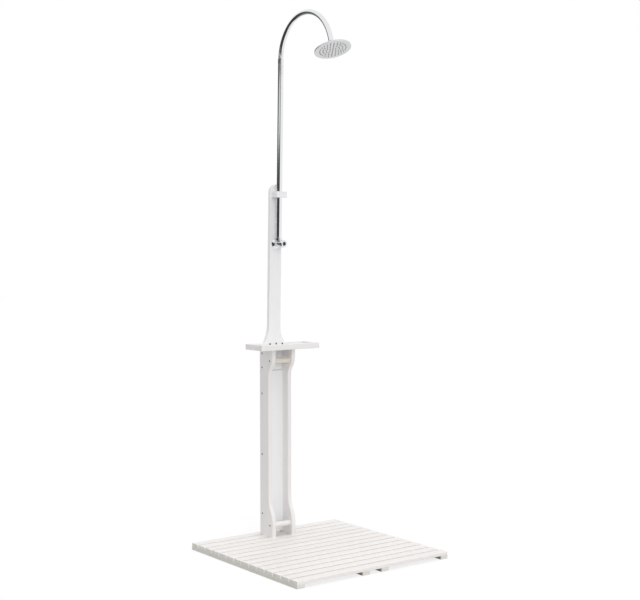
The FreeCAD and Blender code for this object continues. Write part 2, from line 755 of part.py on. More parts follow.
def disc_ports(body, depth, across):
    """Two round ports through a ceramic disc, side by side or one above the other."""
    axis = mast_level(size.valve_height)
    spread = size.port_spread
    points = [(-spread, axis), (spread, axis)] if across else [(0, axis - spread), (0, axis + spread)]
    front = depth + size.disc_thickness
    pocket(body, circles(new_sketch(body, "XZ_Plane", front), points, size.port_radius), size.disc_thickness + 0.1)


def ceramic_discs():
    """The fixed and the turning disc of the quarter-turn shut-off, shown closed."""
    fixed, radius = size.seat_depth + 0.1, size.chamber_radius - 0.1
    front = fixed + size.disc_thickness
    disc_ports(valve_turned("ceramic_seat_disc", [
        (fixed, 0), (fixed, radius), (front, radius), (front, 0)]), fixed, False)
    turning = front + 0.05
    front = turning + size.disc_thickness
    radius = size.chamber_radius - 0.5
    disc_ports(valve_turned("ceramic_turning_disc", [
        (turning, 0), (turning, radius), (front, radius), (front, 0)]), turning, True)
    return front


def valve_cartridge():
    """The screwed-in head part that guides the spindle."""
    bore, outer = size.spindle_radius + 0.05, size.chamber_radius - 0.05
    valve_turned("valve_cartridge", [
        (30, bore), (30, outer), (size.valve_reach, outer), (size.valve_reach, 12.4),
        (size.valve_reach + 3, 12.4), (size.valve_reach + 3, 6.6), (size.valve_reach + 8, 6.6),
        (size.valve_reach + 8, bore),
    ])


def valve_spindle(start):
    """Drives the turning disc by a foot flange; its nose takes the knob and the knob screw."""
    body = valve_turned("valve_spindle", [
        (start, 0), (start, 7), (start + 2.4, 7), (start + 2.4, size.spindle_radius),
        (60, size.spindle_radius), (60, 2.05), (49, 2.05), (49, 0),
    ])
    return body


def valve_knob():
    """A round chrome knob, hollow behind, with a recess for its cap in front."""
    back, front, radius, hub = size.knob_back, size.knob_front, size.knob_radius, size.spindle_radius
    valve_turned("valve_knob", [
        (back, 12), (back, radius - 1.5), (back + 1.5, radius, 1.5, -1), (front - 3, radius),
        (front, radius - 3, 3, -1), (front, size.cap_radius + 0.1), (front - 2.2, size.cap_radius + 0.1),
        (front - 2.2, 2.1), (60.1, 2.1), (60.1, hub), (54, hub), (54, 12),
    ])


def knob_trim():
    """The screw that holds the knob on the spindle, and the cap over it."""
    seat = size.knob_front - 2.2
    valve_turned("knob_screw", [(50, 0), (50, 2), (seat, 2), (seat, 3.6), (seat + 1.2, 3.6), (seat + 1.2, 0)])
    base, face, radius = seat + 1.4, size.knob_front + 0.6, size.cap_radius
    valve_turned("knob_cap", [(base, 0), (base, radius), (face - 0.8, radius), (face, radius - 0.8), (face, 0)])


def union_nut():
    """The nut that draws the riser's collar down on the boss, and the flat seal between them."""
    axis = mast_level(size.valve_height)
    for label, steps in (
        ("union_nut", [
            (size.boss_radius + 0.05, size.nut_bottom), (size.nut_radius - 1, size.nut_bottom),
            (size.nut_radius, size.nut_bottom + 1), (size.nut_radius, size.nut_top - 1),
            (size.nut_radius - 1, size.nut_top), (size.riser_radius + 0.1, size.nut_top),
            (size.riser_radius + 0.1, size.boss_top + 3.1), (size.riser_radius + 1.1, size.boss_top + 3.1),
            (size.riser_radius + 1.1, size.boss_top), (size.boss_radius + 0.05, size.boss_top)]),
        ("union_seal", [
            (size.outlet_radius, size.boss_top), (size.riser_radius + 0.6, size.boss_top),
            (size.riser_radius + 0.6, size.boss_top + 1.5), (size.outlet_radius, size.boss_top + 1.5)]),
    ):
        body = new_body(label)
        profile = new_sketch(body, "XZ_Plane", size.pipe_offset)
        outline(profile, [(radius, axis + level) for radius, level in steps])
        spin(body, profile)
        lean_with_mast(body)


def rear_fittings():
    """Behind the board: rubber washer, backnut and the hose connector."""
    board = size.board_thickness
    bore = size.shank_radius + 0.05
    washer = board + size.washer_thickness
    valve_turned("back_washer", [
        (-board, bore), (-board, size.washer_radius), (-washer, size.washer_radius), (-washer, bore)])
    nut = new_body("backnut")
    axis = mast_level(size.valve_height)
    corner = size.backnut_flats / cosine(as_size(30)) / 2
    ring = [(corner * math.cos(math.radians(60 * k + 30)), axis + corner * math.sin(math.radians(60 * k + 30)))
            for k in range(6)]
    sketch = outline(new_sketch(nut, "XZ_Plane", -washer), ring)
    circles(sketch, [(0, axis)], bore)
    pad(nut, sketch, size.backnut_thickness, reverse=True)
    lean_with_mast(nut)
    start, end, body_radius = size.hose_body_start, size.hose_body_end, size.hose_body_radius
    nose, step, tip = size.hose_nose_radius, size.hose_nose_start, size.hose_nose_end
    groove = nose - 1.6
    valve_turned("hose_connector", [
        (-start, bore), (-start, body_radius - 1), (-start - 1, body_radius), (-end + 1, body_radius),
        (-end, body_radius - 1), (-end, groove), (-step, groove), (-step, nose), (-tip + 1, nose),
        (-tip, nose - 1), (-tip, 5), (-size.shank_end - 0.2, 5), (-size.shank_end - 0.2, bore),
    ])


# ---------------------------------------------------------------- head, drawn about the ball with +Z up its axis

def head_turned(label, steps, angle):
    body = new_body(label)
    spin(body, outline(new_sketch(body, "XZ_Plane"), steps))
    forward, up = ball_place()
    tilt_about(body, angle, forward, up)
    return body


def on_ball(radius, across):
    """Height below the ball's middle of a point of its sphere that lies that far from the axis."""
    return root(radius * radius - across * across)


def ball_spigot():
    """Ball, neck and the plug that is fixed in the end of the gooseneck, bored through."""
    ball, bore, neck, drop = size.ball_radius, as_size(3.5), size.ball_neck, size.ball_drop
    plug = size.neck_radius - size.neck_wall - 0.4
    head_turned("ball_spigot", [
        (bore, -on_ball(ball, bore)), (ball, 0, ball, 1), (neck, on_ball(ball, neck), ball, 1),
        (neck, drop - 2), (size.neck_radius, drop - 2), (size.neck_radius, drop),
        (plug, drop), (plug, drop + 8), (bore, drop + 8),
    ], size.lean - 90 + size.falling_sweep)


def ball_packing():
    """A seat ring above the ball's widest part and a seal below it, both round inside and out."""
    spray = -size.spray_angle
    inner = size.ball_radius + size.seat_play
    outer = inner + size.seat_ring
    low, lip, top = as_size(0.9), as_size(8.3), as_size(9.5)
    head_turned("ball_seat_ring", [
        (on_ball(outer, low), low), (top, on_ball(outer, top), outer, 1), (lip, on_ball(inner, lip)),
        (on_ball(inner, low), low, inner, -1),
    ], spray)
    mouth, edge = size.head_bore + 0.6, as_size(2.8)
    head_turned("ball_seal", [
        (mouth, -on_ball(outer, mouth)), (on_ball(outer, edge), -edge, outer, 1), (on_ball(inner, edge), -edge),
        (mouth, -on_ball(inner, mouth), inner, -1),
    ], spray)


def shower_head():
    """Swivel nut, domed shell, nozzle mat and face plate."""
    spray = -size.spray_angle
    seat = size.ball_radius + size.seat_play * 2 + size.seat_ring
    thread, nut, lip = size.collar_radius + 0.1, size.swivel_radius, as_size(9.4)
    head_turned("swivel_nut", [
        (thread, -12), (nut - 1, -12), (nut, -11), (nut, 4.5), (nut - 1.5, 5.8), (lip + 1, 5.8),
        (lip, on_ball(seat, lip)), (seat, 0, seat, -1), (seat, -1), (thread, -1),
    ], spray)
    rim, depth, collar, bore, top = size.head_radius, size.head_depth, size.collar_radius, size.head_bore, as_size(1.6)
    head_turned("head_shell", [
        (bore, -on_ball(seat, bore), seat, -1), (bore, -12), (13, -14.9), (rim - 12, -depth + 6.6, 380, -1),
        (rim - 2, -depth + 3.5), (rim - 2, -depth), (rim - 0.6, -depth), (rim, -depth + 0.6),
        (rim, -depth + 4.5), (rim - 2.5, -depth + 7, 2.5, 1), (rim - 12, -depth + 8.8),
        (collar + 2, -12.4, 380, 1), (collar, -12.1), (collar, -top), (on_ball(seat, top), -top),
    ], spray)
    points = nozzle_points()
    mat_top = size.face_thickness + size.mat_thickness - depth
    mat = new_body("nozzle_mat")
    base = circles(new_sketch(mat, "XY_Plane", mat_top), [(0, 0)], rim - 2.4)
    pad(mat, base, size.mat_thickness, reverse=True)
    cones = circles(new_sketch(mat, "XY_Plane", mat_top - size.mat_thickness), points, size.nozzle_base)
    pad(mat, cones, size.nozzle_length, reverse=True, taper=-size.nozzle_taper)
    face = new_body("face_plate")
    disc = circles(new_sketch(face, "XY_Plane", -depth), [(0, 0)], rim - 2.1)
    circles(disc, points, size.nozzle_base + 0.1)
    pad(face, disc, size.face_thickness)
    forward, up = ball_place()
    for body in (mat, face):
        tilt_about(body, spray, forward, up)


def nozzle_points():
    """One nozzle in the middle and evenly spaced rings round it, each with six more than the one inside."""
    points = [(0, 0)]
    for ring in range(1, int(size.nozzle_rings.value) + 1):
        radius = size.nozzle_pitch * ring
        for step in range(6 * ring):
            turn = math.radians(60 * step / ring)
            across, along = round(math.cos(turn), 9), round(math.sin(turn), 9)
            points.append((radius * across if across else 0, radius * along if along else 0))
    return points


# ---------------------------------------------------------------- assembly

def build():
    for index in range(int(size.slat_count.value)):
        slat(index)
    for index, middle in enumerate(bearer_rows):
        bearer(index, middle)
    slat_screws()
    deck_bolts()
    side_panel("left_side_panel", -1)
    side_panel("right_side_panel", 1)
    back_panel()
    rail("upper_rail", size.upper_rail)
    rail("lower_rail", size.lower_rail)
    column_screws()
    half_rim = size.rim_thickness / 2
    long_rim("tray_front_rim", size.tray_front + half_rim)
    long_rim("tray_rear_rim", size.tray_back - half_rim)
    short_rim("tray_left_rim", -1)
    short_rim("tray_right_rim", 1)
    tray_floor()
    tray_screws()
    mast_board()
    pipe_block()
    block_screws()
    riser_pipe()
    coupling_sleeve()
    gooseneck_pipe()
    wall_flange()
    valve_body()
    valve_spindle(ceramic_discs())
    valve_cartridge()
    valve_knob()
    knob_trim()
    union_nut()
    rear_fittings()
    ball_spigot()
    ball_packing()
    shower_head()


def export():
    doc.recompute()
    for item in doc.Objects:
        if "Invalid" in item.State or "Error" in item.State:
            raise RuntimeError(f"{item.Name} failed: {item.State}")
    bodies = [item for item in doc.Objects if item.TypeId == "PartDesign::Body"]
    for body in bodies:
        if body.Shape.isNull() or not body.Shape.isValid():
            raise RuntimeError(f"{body.Label} has no valid shape")
    os.makedirs("parts", exist_ok=True)
    for body in bodies:
        body.Shape.exportStep(f"parts/{body.Label}.step")
    print(len(bodies), "nodes written")


build()
export()
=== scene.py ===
"""Looks of the outdoor shower post: painted timber, chromed pipework, tap, head and the studio round them.

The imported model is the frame. Turned, bent and planed pieces are worked out again as smooth surfaces and
stand for their nodes; every other node keeps its shape and gets its finish here. Lengths are in metres.
"""

import json
import math

import bpy
import numpy as np
from bpy.props import FloatProperty, FloatVectorProperty, IntProperty, PointerProperty
from mathutils import Matrix, Vector


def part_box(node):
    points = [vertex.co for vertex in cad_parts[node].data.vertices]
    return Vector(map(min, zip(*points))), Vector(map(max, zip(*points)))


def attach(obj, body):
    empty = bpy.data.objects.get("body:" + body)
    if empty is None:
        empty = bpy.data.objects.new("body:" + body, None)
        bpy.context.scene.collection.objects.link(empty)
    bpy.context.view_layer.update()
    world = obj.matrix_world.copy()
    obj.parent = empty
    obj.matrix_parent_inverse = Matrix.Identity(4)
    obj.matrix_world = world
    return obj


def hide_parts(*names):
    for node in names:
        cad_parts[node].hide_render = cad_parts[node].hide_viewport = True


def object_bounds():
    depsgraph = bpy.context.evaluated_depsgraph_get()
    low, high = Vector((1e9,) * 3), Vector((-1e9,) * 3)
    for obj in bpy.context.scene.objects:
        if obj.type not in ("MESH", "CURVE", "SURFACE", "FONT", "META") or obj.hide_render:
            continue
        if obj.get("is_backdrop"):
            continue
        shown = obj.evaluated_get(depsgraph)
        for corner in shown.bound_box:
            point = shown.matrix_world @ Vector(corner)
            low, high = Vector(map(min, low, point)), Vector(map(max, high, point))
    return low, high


bl_info = {
    "name": "Outdoor shower post",
    "version": (1, 0, 0),
    "blender": (4, 5, 0),
    "location": "3D View > Sidebar > Shower",
    "description": "Builds the finished pieces and finishes of an outdoor shower post round its packed model",
    "category": "Object",
}

MM = 0.001
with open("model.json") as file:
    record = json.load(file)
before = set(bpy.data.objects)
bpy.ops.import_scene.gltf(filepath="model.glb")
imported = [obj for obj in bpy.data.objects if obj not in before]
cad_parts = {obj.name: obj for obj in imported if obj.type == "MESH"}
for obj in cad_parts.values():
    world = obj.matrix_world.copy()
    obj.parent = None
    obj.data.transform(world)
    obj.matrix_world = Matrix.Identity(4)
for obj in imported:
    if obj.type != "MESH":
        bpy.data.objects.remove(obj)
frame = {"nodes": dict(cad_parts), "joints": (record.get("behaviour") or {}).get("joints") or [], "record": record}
JOINTS = {joint["name"]: joint for joint in frame["joints"]}
SHARP_EDGE = math.radians(32)  # faces that meet at more than this are shaded with an edge between them


# ---------------------------------------------------------------- settings

def number(name, description, default, **options):
    return FloatProperty(name=name, description=description, default=default, **options)


def length(name, description, millimetres):
    """A length that is typed in millimetres here and kept in metres."""
    return number(name, description, millimetres * MM, unit="LENGTH", precision=5)


def angle(name, description, degrees):
    return number(name, description, math.radians(degrees), subtype="ANGLE")


def share(name, description, default):
    return number(name, description, default, min=0.0, max=1.0)


def count(name, description, default):
    return IntProperty(name=name, description=description, default=default, min=0)


def colour(name, description, default):
    return FloatVectorProperty(name=name, description=description, default=default, subtype="COLOR")


def direction(name, description, default):
    return FloatVectorProperty(name=name, description=description, default=default, subtype="DIRECTION")


class TimberSettings(bpy.types.PropertyGroup):
    """Boards and the paint on them."""

    top_round: length("Top rounding", "Radius of a slat's two upper edges", 2.5)
    foot_round: length("Foot rounding", "Radius of a slat's two lower edges", 1.0)
    end_round: length("End rounding", "Radius sanded on a slat's ends", 0.9)
    rail_round: length("Rail rounding", "Radius sanded on the ends of the round rails", 1.0)
    post_colour: colour("Post paint", "White on the column's sides and the tray", (0.865, 0.850, 0.842))
    board_colour: colour("Board paint", "Cooler white on mast, back panel and block", (0.900, 0.900, 0.908))
    deck_colour: colour("Deck paint", "Warmer white on the slats", (0.880, 0.852, 0.832))
    # Painted shade: the bearers' long sides get a darker grey than their ends, standing in for the shade low under
    # the deck
    bearer_colour: colour("Bearer paint", "Darker paint on the bearers' sides, a painted shade", (0.660, 0.655, 0.610))
    bearer_end: colour("Bearer ends", "Lighter paint on the ends of the bearers", (0.790, 0.775, 0.735))
    # Painted shade: the colour that the bearers' sides and undersides under the deck are darkened to
    bare_colour: colour("Under-deck shade", "Painted shade on the bearers' sides under the deck", (0.300, 0.270, 0.230))
    rail_colour: colour("Rail paint", "Pine seen through the upper rail's thin paint", (0.760, 0.700, 0.630))
    end_colour: colour("End grain", "Where the paint sinks into the ends of the slats", (0.640, 0.628, 0.575))
    fibre_width: length("Fibre width", "Spacing of the grain that shows through the paint", 2.6)
    fibre_length: length("Fibre length", "How far one fibre runs along the board", 130.0)
    streak_width: length("Streak width", "Breadth of the broad streaks in the paint's tone", 45.0)
    streak_length: length("Streak length", "How far a broad streak runs along the board", 500.0)
    patch_size: length("Patch size", "Size of the patches where an end drinks more of the paint", 12.0)
    bristle_width: length("Bristle width", "Spacing of the brush marks", 1.1)
    bristle_length: length("Bristle length", "How far a brush mark runs", 60.0)
    grain_depth: length("Grain depth", "Relief of the grain under the paint", 0.10)
    tone_spread: share("Tone spread", "How much one slat may differ from the next in tone", 0.018)
    tone_draw: count("Tone draw", "Number that the draw of the slats' tones starts from", 14)
    sheen: share("Paint roughness", "Roughness of the satin paint", 0.48)


class PipeSettings(bpy.types.PropertyGroup):
    """Riser, sleeve and bent pipe; levels are measured up the mast from the tap's axis."""

    board_gap: length("Pipe offset", "Middle of the riser in front of the mast board", 23.0)
    riser_radius: length("Riser radius", "Outside of the straight pipe", 12.0)
    riser_wall: length("Riser wall", "Wall of the straight pipe", 1.0)
    riser_foot: length("Riser foot", "Underside of the riser's collar above the tap's axis", 21.5)
    sleeve_radius: length("Sleeve radius", "Outside of the joining sleeve", 12.4)
    sleeve_foot: length("Sleeve foot", "Where the sleeve sits on the riser", 756.0)
    sleeve_top: length("Sleeve top", "Where the bent pipe leaves the sleeve", 790.0)
    neck_radius: length("Bent pipe radius", "Outside of the bent pipe", 10.93)
    neck_wall: length("Bent pipe wall", "Wall of the bent pipe", 1.2)
    rising_bend: length("Rising bend", "Centre radius of the bend that rises", 173.0)
    falling_bend: length("Falling bend", "Centre radius of the bend that falls", 186.0)
    falling_sweep: angle("Falling sweep", "How far the falling bend turns", 75.0)


class TapSettings(bpy.types.PropertyGroup):
    """Rose, tap body, knob and rear fittings; depths are measured forward from the board's face."""

    rose_radius: length("Rose radius", "Rim of the dished rose on the board", 22.0)
    body_radius: length("Body radius", "Barrel of the tap", 13.0)
    body_front: length("Body front", "Face of the barrel", 44.0)
    boss_radius: length("Boss radius", "Upright socket of the tap", 10.4)
    knob_radius: length("Knob radius", "Outside of the knob", 16.5)
    knob_back: length("Knob back", "Rear edge of the knob", 47.6)
    knob_front: length("Knob front", "Face of the knob", 64.5)
    knob_flutes: count("Knob flutes", "Shallow finger grooves round the knob", 12)
    flute_depth: length("Flute depth", "Depth of a finger groove", 0.5)
    cap_radius: length("Cap radius", "Dark button in the middle of the knob", 8.0)
    nut_ribs: count("Nut ribs", "Grip ribs round the union nut and the swivel nut", 20)
    rib_depth: length("Rib depth", "Depth of the grooves between grip ribs", 0.5)


class HeadSettings(bpy.types.PropertyGroup):
    """Ball joint, dome and nozzles; heights are measured up the spray axis from the ball's middle."""

    ball_radius: length("Ball radius", "Ball that the head swivels on", 9.0)
    ball_drop: length("Ball drop", "Ball's middle beyond the end of the bent pipe", 14.0)
    ball_neck: length("Ball neck", "Neck between ball and pipe", 5.5)
    seat_radius: length("Seat radius", "Hollow that holds the ball's packing", 10.36)
    nut_radius: length("Swivel nut radius", "Outside of the nut", 14.5)
    head_radius: length("Head radius", "Rim of the round head", 76.0)
    head_depth: length("Head depth", "Spray face below the ball's middle", 27.0)
    dome_bend: length("Dome bend", "Radius of the flat dome", 380.0)
    nozzle_pitch: length("Nozzle pitch", "Spacing of the rings of nozzles and of the nozzles in a ring", 13.6)
    nozzle_rings: count("Nozzle rings", "Rings of nozzles round the middle one", 4)
    nozzle_radius: length("Nozzle radius", "Foot of a rubber nozzle", 2.2)
    nozzle_tip: length("Nozzle tip", "Radius at a nozzle's tip", 1.55)
    nozzle_bore: length("Nozzle bore", "Radius of the hole that the water leaves by", 0.7)
    nozzle_proud: length("Nozzle proud", "How far a nozzle stands out of the face", 3.0)


class ScrewSettings(bpy.types.PropertyGroup):
    """Cross-head screws."""

    slot_length: share("Cross reach", "Length of the cross over the head's radius", 0.55)
    slot_width: share("Cross width", "Width of the cross over the head's radius", 0.17)
    slot_depth: length("Cross depth", "Depth of the cross", 1.3)


class FinishSettings(bpy.types.PropertyGroup):
    """Metals, rubber and plastics."""

    chrome_colour: colour("Chrome", "Colour of the chromed parts", (0.73, 0.74, 0.76))
    chrome_roughness: share("Chrome roughness", "Polish of the chromed parts", 0.07)
    dome_roughness: share("Head roughness", "Softer polish of the head's shell", 0.32)
    plate_colour: colour("Spray face", "Colour of the satin spray face", (0.66, 0.665, 0.67))
    plate_roughness: share("Spray face roughness", "Brushing of the spray face", 0.34)
    brass_colour: colour("Brass", "Colour of the plain brass fittings", (0.72, 0.58, 0.33))
    steel_colour: colour("Screw steel", "Colour of the screws", (0.11, 0.11, 0.115))
    rubber_colour: colour("Seal rubber", "Colour of washers and seals", (0.030, 0.030, 0.032))
    nozzle_colour: colour("Nozzle rubber", "Colour of the nozzles", (0.46, 0.46, 0.47))
    cap_colour: colour("Knob button", "Colour of the button in the knob", (0.018, 0.018, 0.022))
    ring_colour: colour("Seat ring", "Colour of the plastic seat ring", (0.80, 0.80, 0.77))
    ceramic_colour: colour("Ceramic", "Colour of the shut-off discs", (0.85, 0.84, 0.80))


class StudioSettings(bpy.types.PropertyGroup):
    """Camera, lamps and surroundings."""

    azimuth: angle("Azimuth", "Camera's turn round the post; 0 looks along +Y", -36.833)
    elevation: angle("Elevation", "Camera above the horizon", 2.062)
    roll: angle("Roll", "Camera's tilt about its own axis", -0.08)
    distance: length("Distance", "Camera from the point that it looks at", 4936.63)
    lens: number("Lens", "Focal length in millimetres on a 36 mm sensor", 67.04)
    look_across: length("Look across", "Point looked at, across the deck", 13.128)
    look_up: length("Look up", "Point looked at, above the ground", 1058.523)
    key_way: direction("Front way", "Where the low light in front stands", (-0.30, -0.918, 0.259))
    key_strength: number("Front light", "Strength of the low light in front", 0.74)
    key_softness: angle("Front softness", "Apparent width of the light in front", 30.0)
    top_way: direction("Top way", "Where the light overhead stands", (0.0, -0.12, 1.0))
    top_strength: number("Top light", "Strength of the light overhead", 1.18)
    top_softness: angle("Top softness", "Apparent width of the light overhead", 60.0)
    fill: number("Fill", "Level of the light from all round", 0.60, min=0.0)
    shadow: share("Floor shadow", "How much of the shadow the white floor keeps", 0.25)
    bounce: share("Floor bounce", "How much light the floor throws back up", 0.66)


def settings():
    return bpy.context.scene.shower_post


# ---------------------------------------------------------------- places, from the frame's joints

class Axis:
    """A line that pieces are turned about: a point on it, its direction, and the way that turn 0 faces."""

    def __init__(self, origin, along, across=(1, 0, 0)):
        self.origin = np.array(origin, float)
        self.along = np.array(along, float) / np.linalg.norm(along)
        self.across = np.array(across, float)
        self.third = np.cross(self.along, self.across)

    def at(self, height):
        return self.origin + self.along * height


def tap_axis():
    """Forward along the tap's spindle, from the face of the mast board."""
    return Axis(JOINTS["knob_turn"]["pos_m"], JOINTS["knob_turn"]["axis"])


def mast_axis():
    """Up the riser, from the level of the tap's spindle."""
    tap = tap_axis()
    return Axis(tap.at(settings().pipes.board_gap), tap.third)


def spray_axis():
    """Up through the middle of the head, from the ball's middle."""
    return Axis(JOINTS["head_spin"]["pos_m"], JOINTS["head_spin"]["axis"])


# ---------------------------------------------------------------- profiles

def eased(corners, ease, steps=5):
    """Rounds every corner of a closed profile.

    Each corner P is left at a distance e before it and met again at e after it, e being the ease or 0.45 of
    the shorter side, and the curve between is (1-t)^2 A + 2t(1-t) P + t^2 B, a parabola through both ends.
    """
    point = np.array(corners, float)
    before, after = np.roll(point, 1, axis=0) - point, np.roll(point, -1, axis=0) - point
    reach_before, reach_after = np.linalg.norm(before, axis=1), np.linalg.norm(after, axis=1)
    cut = np.minimum(ease, 0.45 * np.minimum(reach_before, reach_after))[:, None]
    start = point + before / reach_before[:, None] * cut
    end = point + after / reach_after[:, None] * cut
    t = np.linspace(0, 1, steps)[None, :, None]
    curve = (1 - t) ** 2 * start[:, None] + 2 * t * (1 - t) * point[:, None] + t**2 * end[:, None]
    return curve.reshape(-1, 2)


def arc(start, end, bend, steps):
    """Points of the shallow circular arc from start to end; a positive bend bulges to the left of the way.

    With chord c and radius R, the centre stands sqrt(R^2 - (c/2)^2) to the other side of the chord.
    """
    a, b = np.array(start, float), np.array(end, float)
    chord = b - a
    half = np.linalg.norm(chord) / 2
    left = np.array((-chord[1], chord[0])) / (2 * half)
    centre = (a + b) / 2 - left * math.copysign(math.sqrt(bend * bend - half * half), bend)
    turn_a, turn_b = (math.atan2(*(p - centre)[::-1]) for p in (a, b))
    turn_b += 2 * math.pi * round((turn_a - turn_b) / (2 * math.pi))
    t = np.linspace(turn_a, turn_b, steps)
    return list(zip(centre[0] + abs(bend) * np.cos(t), centre[1] + abs(bend) * np.sin(t)))


def ball_rows(radius, start, end, steps):
    """Rows (R cos t, R sin t) of a ball or of the hollow for one, from latitude start to latitude end."""
    t = np.linspace(start, end, steps)
    return list(zip(radius * np.cos(t), radius * np.sin(t)))


def groove(radius, start, depth, way=1):
    """Rows of a groove round a turned piece: 0.4 mm of slope, 0.8 mm of floor and 0.4 mm of slope."""
    steps = ((0.0, 0.0), (depth, 0.4), (depth, 1.2), (0.0, 1.6))
    return [(radius - sunk, start + way * step * MM) for sunk, step in steps]


# ---------------------------------------------------------------- surfaces

def grid_faces(points, wrap_rows):
    """Quads of a grid whose columns close on themselves; a row that shrinks to a point becomes a fan."""
    copies, rows, columns = points.shape[:3]
    index = np.arange(copies * rows * columns).reshape(copies, rows, columns)
    pole = np.ptp(points, axis=2).max(axis=2) < 1e-8
    index = np.where(pole[:, :, None], index[:, :, :1], index)
    index = np.concatenate([index, index[:, :, :1]], axis=2)
    if wrap_rows:
        index = np.concatenate([index, index[:, :1]], axis=1)
    quads = np.stack([index[:, :-1, :-1], index[:, :-1, 1:], index[:, 1:, 1:], index[:, 1:, :-1]], axis=-1)
    return quads.reshape(-1, 4)


def outward(vertices, quads):
    """Turns the faces round if the volume they enclose, a sum of p0 . (p1 x p2) / 6, comes out negative."""
    p = vertices[quads]
    volume = np.einsum("ij,ij->", p[:, 0], np.cross(p[:, 1], p[:, 2]))
    volume += np.einsum("ij,ij->", p[:, 0], np.cross(p[:, 2], p[:, 3]))
    return quads if volume > 0 else quads[:, ::-1]


def surface(name, node, *grids, body="stand"):
    """Makes one piece of closed grids, each an array of (copies, rows, columns, xyz), to stand for a node."""
    vertices, faces, start = [], [], 0
    for points, wrap_rows in grids:
        points = points if points.ndim == 4 else points[None]
        flat = points.reshape(-1, 3)
        faces.append(outward(flat, grid_faces(points, wrap_rows)) + start)
        vertices.append(flat)
        start += len(flat)
    vertices, quads = np.concatenate(vertices), np.concatenate(faces)
    used, quads = np.unique(quads, return_inverse=True)
    quads = quads.reshape(-1, 4)
    folded = quads == np.roll(quads, -1, axis=1)
    whole = quads[~folded.any(axis=1)]
    fan = folded.sum(axis=1) == 1
    triangles = quads[fan][~folded[fan]].reshape(-1, 3)
    mesh = bpy.data.meshes.new(name)
    mesh.from_pydata(vertices[used].tolist(), [], whole.tolist() + triangles.tolist())
    mesh.polygons.foreach_set("use_smooth", [True] * len(mesh.polygons))
    mesh.set_sharp_from_angle(angle=SHARP_EDGE)
    mesh.validate()
    piece = bpy.data.objects.new(name, mesh)
    bpy.context.scene.collection.objects.link(piece)
    mesh.materials.append(finish_of(node))
    shading = piece.modifiers.new("even shading", "WEIGHTED_NORMAL")
    shading.keep_sharp = True
    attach(piece, body)
    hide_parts(node)


def full_turn(segments):
    return np.linspace(0, 2 * math.pi, segments, endpoint=False)[None, :]


def around(axis, turn, radius, height):
    """The points origin + r cos(a) across + r sin(a) third + h along."""
    return (
        axis.origin
        + (radius * np.cos(turn))[..., None] * axis.across
        + (radius * np.sin(turn))[..., None] * axis.third
        + height[..., None] * axis.along
    )


def turned(axis, profile, segments=64, ribs=0, rib_depth=0.0, ribbed=None, closed=True):
    """A profile of (radius, height) carried round an axis.

    Where ribs are asked for, the radius of the ribbed rows is reduced by depth * (1 - cos(ribs a)) / 2.
    """
    profile = np.array(profile, float)
    a = full_turn(segments)
    radius = np.repeat(profile[:, :1], segments, axis=1)
    if ribs:
        rows = ribbed(profile[:, 0], profile[:, 1])[:, None]
        radius = radius - rows * rib_depth * (1 - np.cos(ribs * a)) / 2
    return around(axis, a, radius, profile[:, 1:]), closed


def swept_pipe(centres, tangents, outer, inner, segments=48):
    """A pipe along a path in the post's middle plane, with its bore.

    At each station the ring is C + r cos(a) X + r sin(a) (X x T). The rows run forward along the outside and
    back along the bore, so that the two walls and both rims close into one surface.
    """
    across = np.array((1.0, 0.0, 0.0))
    a = full_turn(segments)[..., None]
    ring = np.cos(a) * across + np.sin(a) * np.cross(across, tangents)[:, None]
    walls = [centres[:, None] + ring * outer, (centres[:, None] + ring * inner)[::-1]]
    return np.concatenate(walls), True


def planed_board(low, high, top_round, foot_round, end_round, steps=6):
    """A board along X with rounded edges and sanded ends.

    The section is four quarter circles of radius r about the corner points, joined by straight sides. At each
    end it draws in by e (1 - cos b) while it advances by e sin b, and then closes to its middle.
    """
    low, high = np.array(low, float), np.array(high, float)
    b = np.linspace(0, math.pi / 2, steps)
    turn = np.concatenate([b + k * math.pi / 2 for k in range(4)])
    radius = np.repeat([top_round, top_round, foot_round, foot_round], steps)
    side = np.repeat([1, -1, -1, 1], steps)
    level = np.repeat([1, 1, -1, -1], steps)
    middle, half = (low[1:] + high[1:]) / 2, (high[1:] - low[1:]) / 2
    drawn_in, short = end_round * (1 - np.cos(b)), end_round * (1 - np.sin(b))
    inset = np.concatenate([drawn_in[::-1], [0.0], drawn_in])
    x = np.concatenate([low[0] + short[::-1], [0.0], high[0] - short])
    shrink = radius[None, :] - inset[:, None]
    y = middle[0] + side * (half[0] - radius) + shrink * np.cos(turn)
    z = middle[1] + level * (half[1] - radius) + shrink * np.sin(turn)
    points = np.stack([np.repeat(x[:, None], len(turn), axis=1), y, z], axis=-1)
    caps = np.array([[low[0], *middle], [high[0], *middle]])[:, None, None, :] * np.ones((1, 1, len(turn), 1))
    return np.concatenate([caps[0], points, caps[1]]), False


# ---------------------------------------------------------------- finishes

class Nodes:
    """Short ways to add nodes to a tree."""

    def __init__(self, tree):
        self.tree = tree

    def feed(self, socket, value):
        if isinstance(value, bpy.types.NodeSocket):
            self.tree.links.new(value, socket)
        else:
            socket.default_value = value

    def node(self, kind, values=None, **options):
        made = self.tree.nodes.new("ShaderNode" + kind)
        for name, value in options.items():
            setattr(made, name, value)
        for name, value in (values or {}).items():
            self.feed(made.inputs[name], value)
        return made

    def math(self, operation, *values):
        made = self.node("Math", operation=operation)
        for socket, value in zip(made.inputs, values):
            self.feed(socket, value)
        return made.outputs[0]

    def seen(self):
        """1 for a ray from the camera, off a mirror or through glass, and 0 for one that only lights."""
        paths = self.node("LightPath").outputs
        mirrored = self.math("MAXIMUM", paths["Is Glossy Ray"], paths["Is Transmission Ray"])
        return self.math("MAXIMUM", paths["Is Camera Ray"], mirrored)


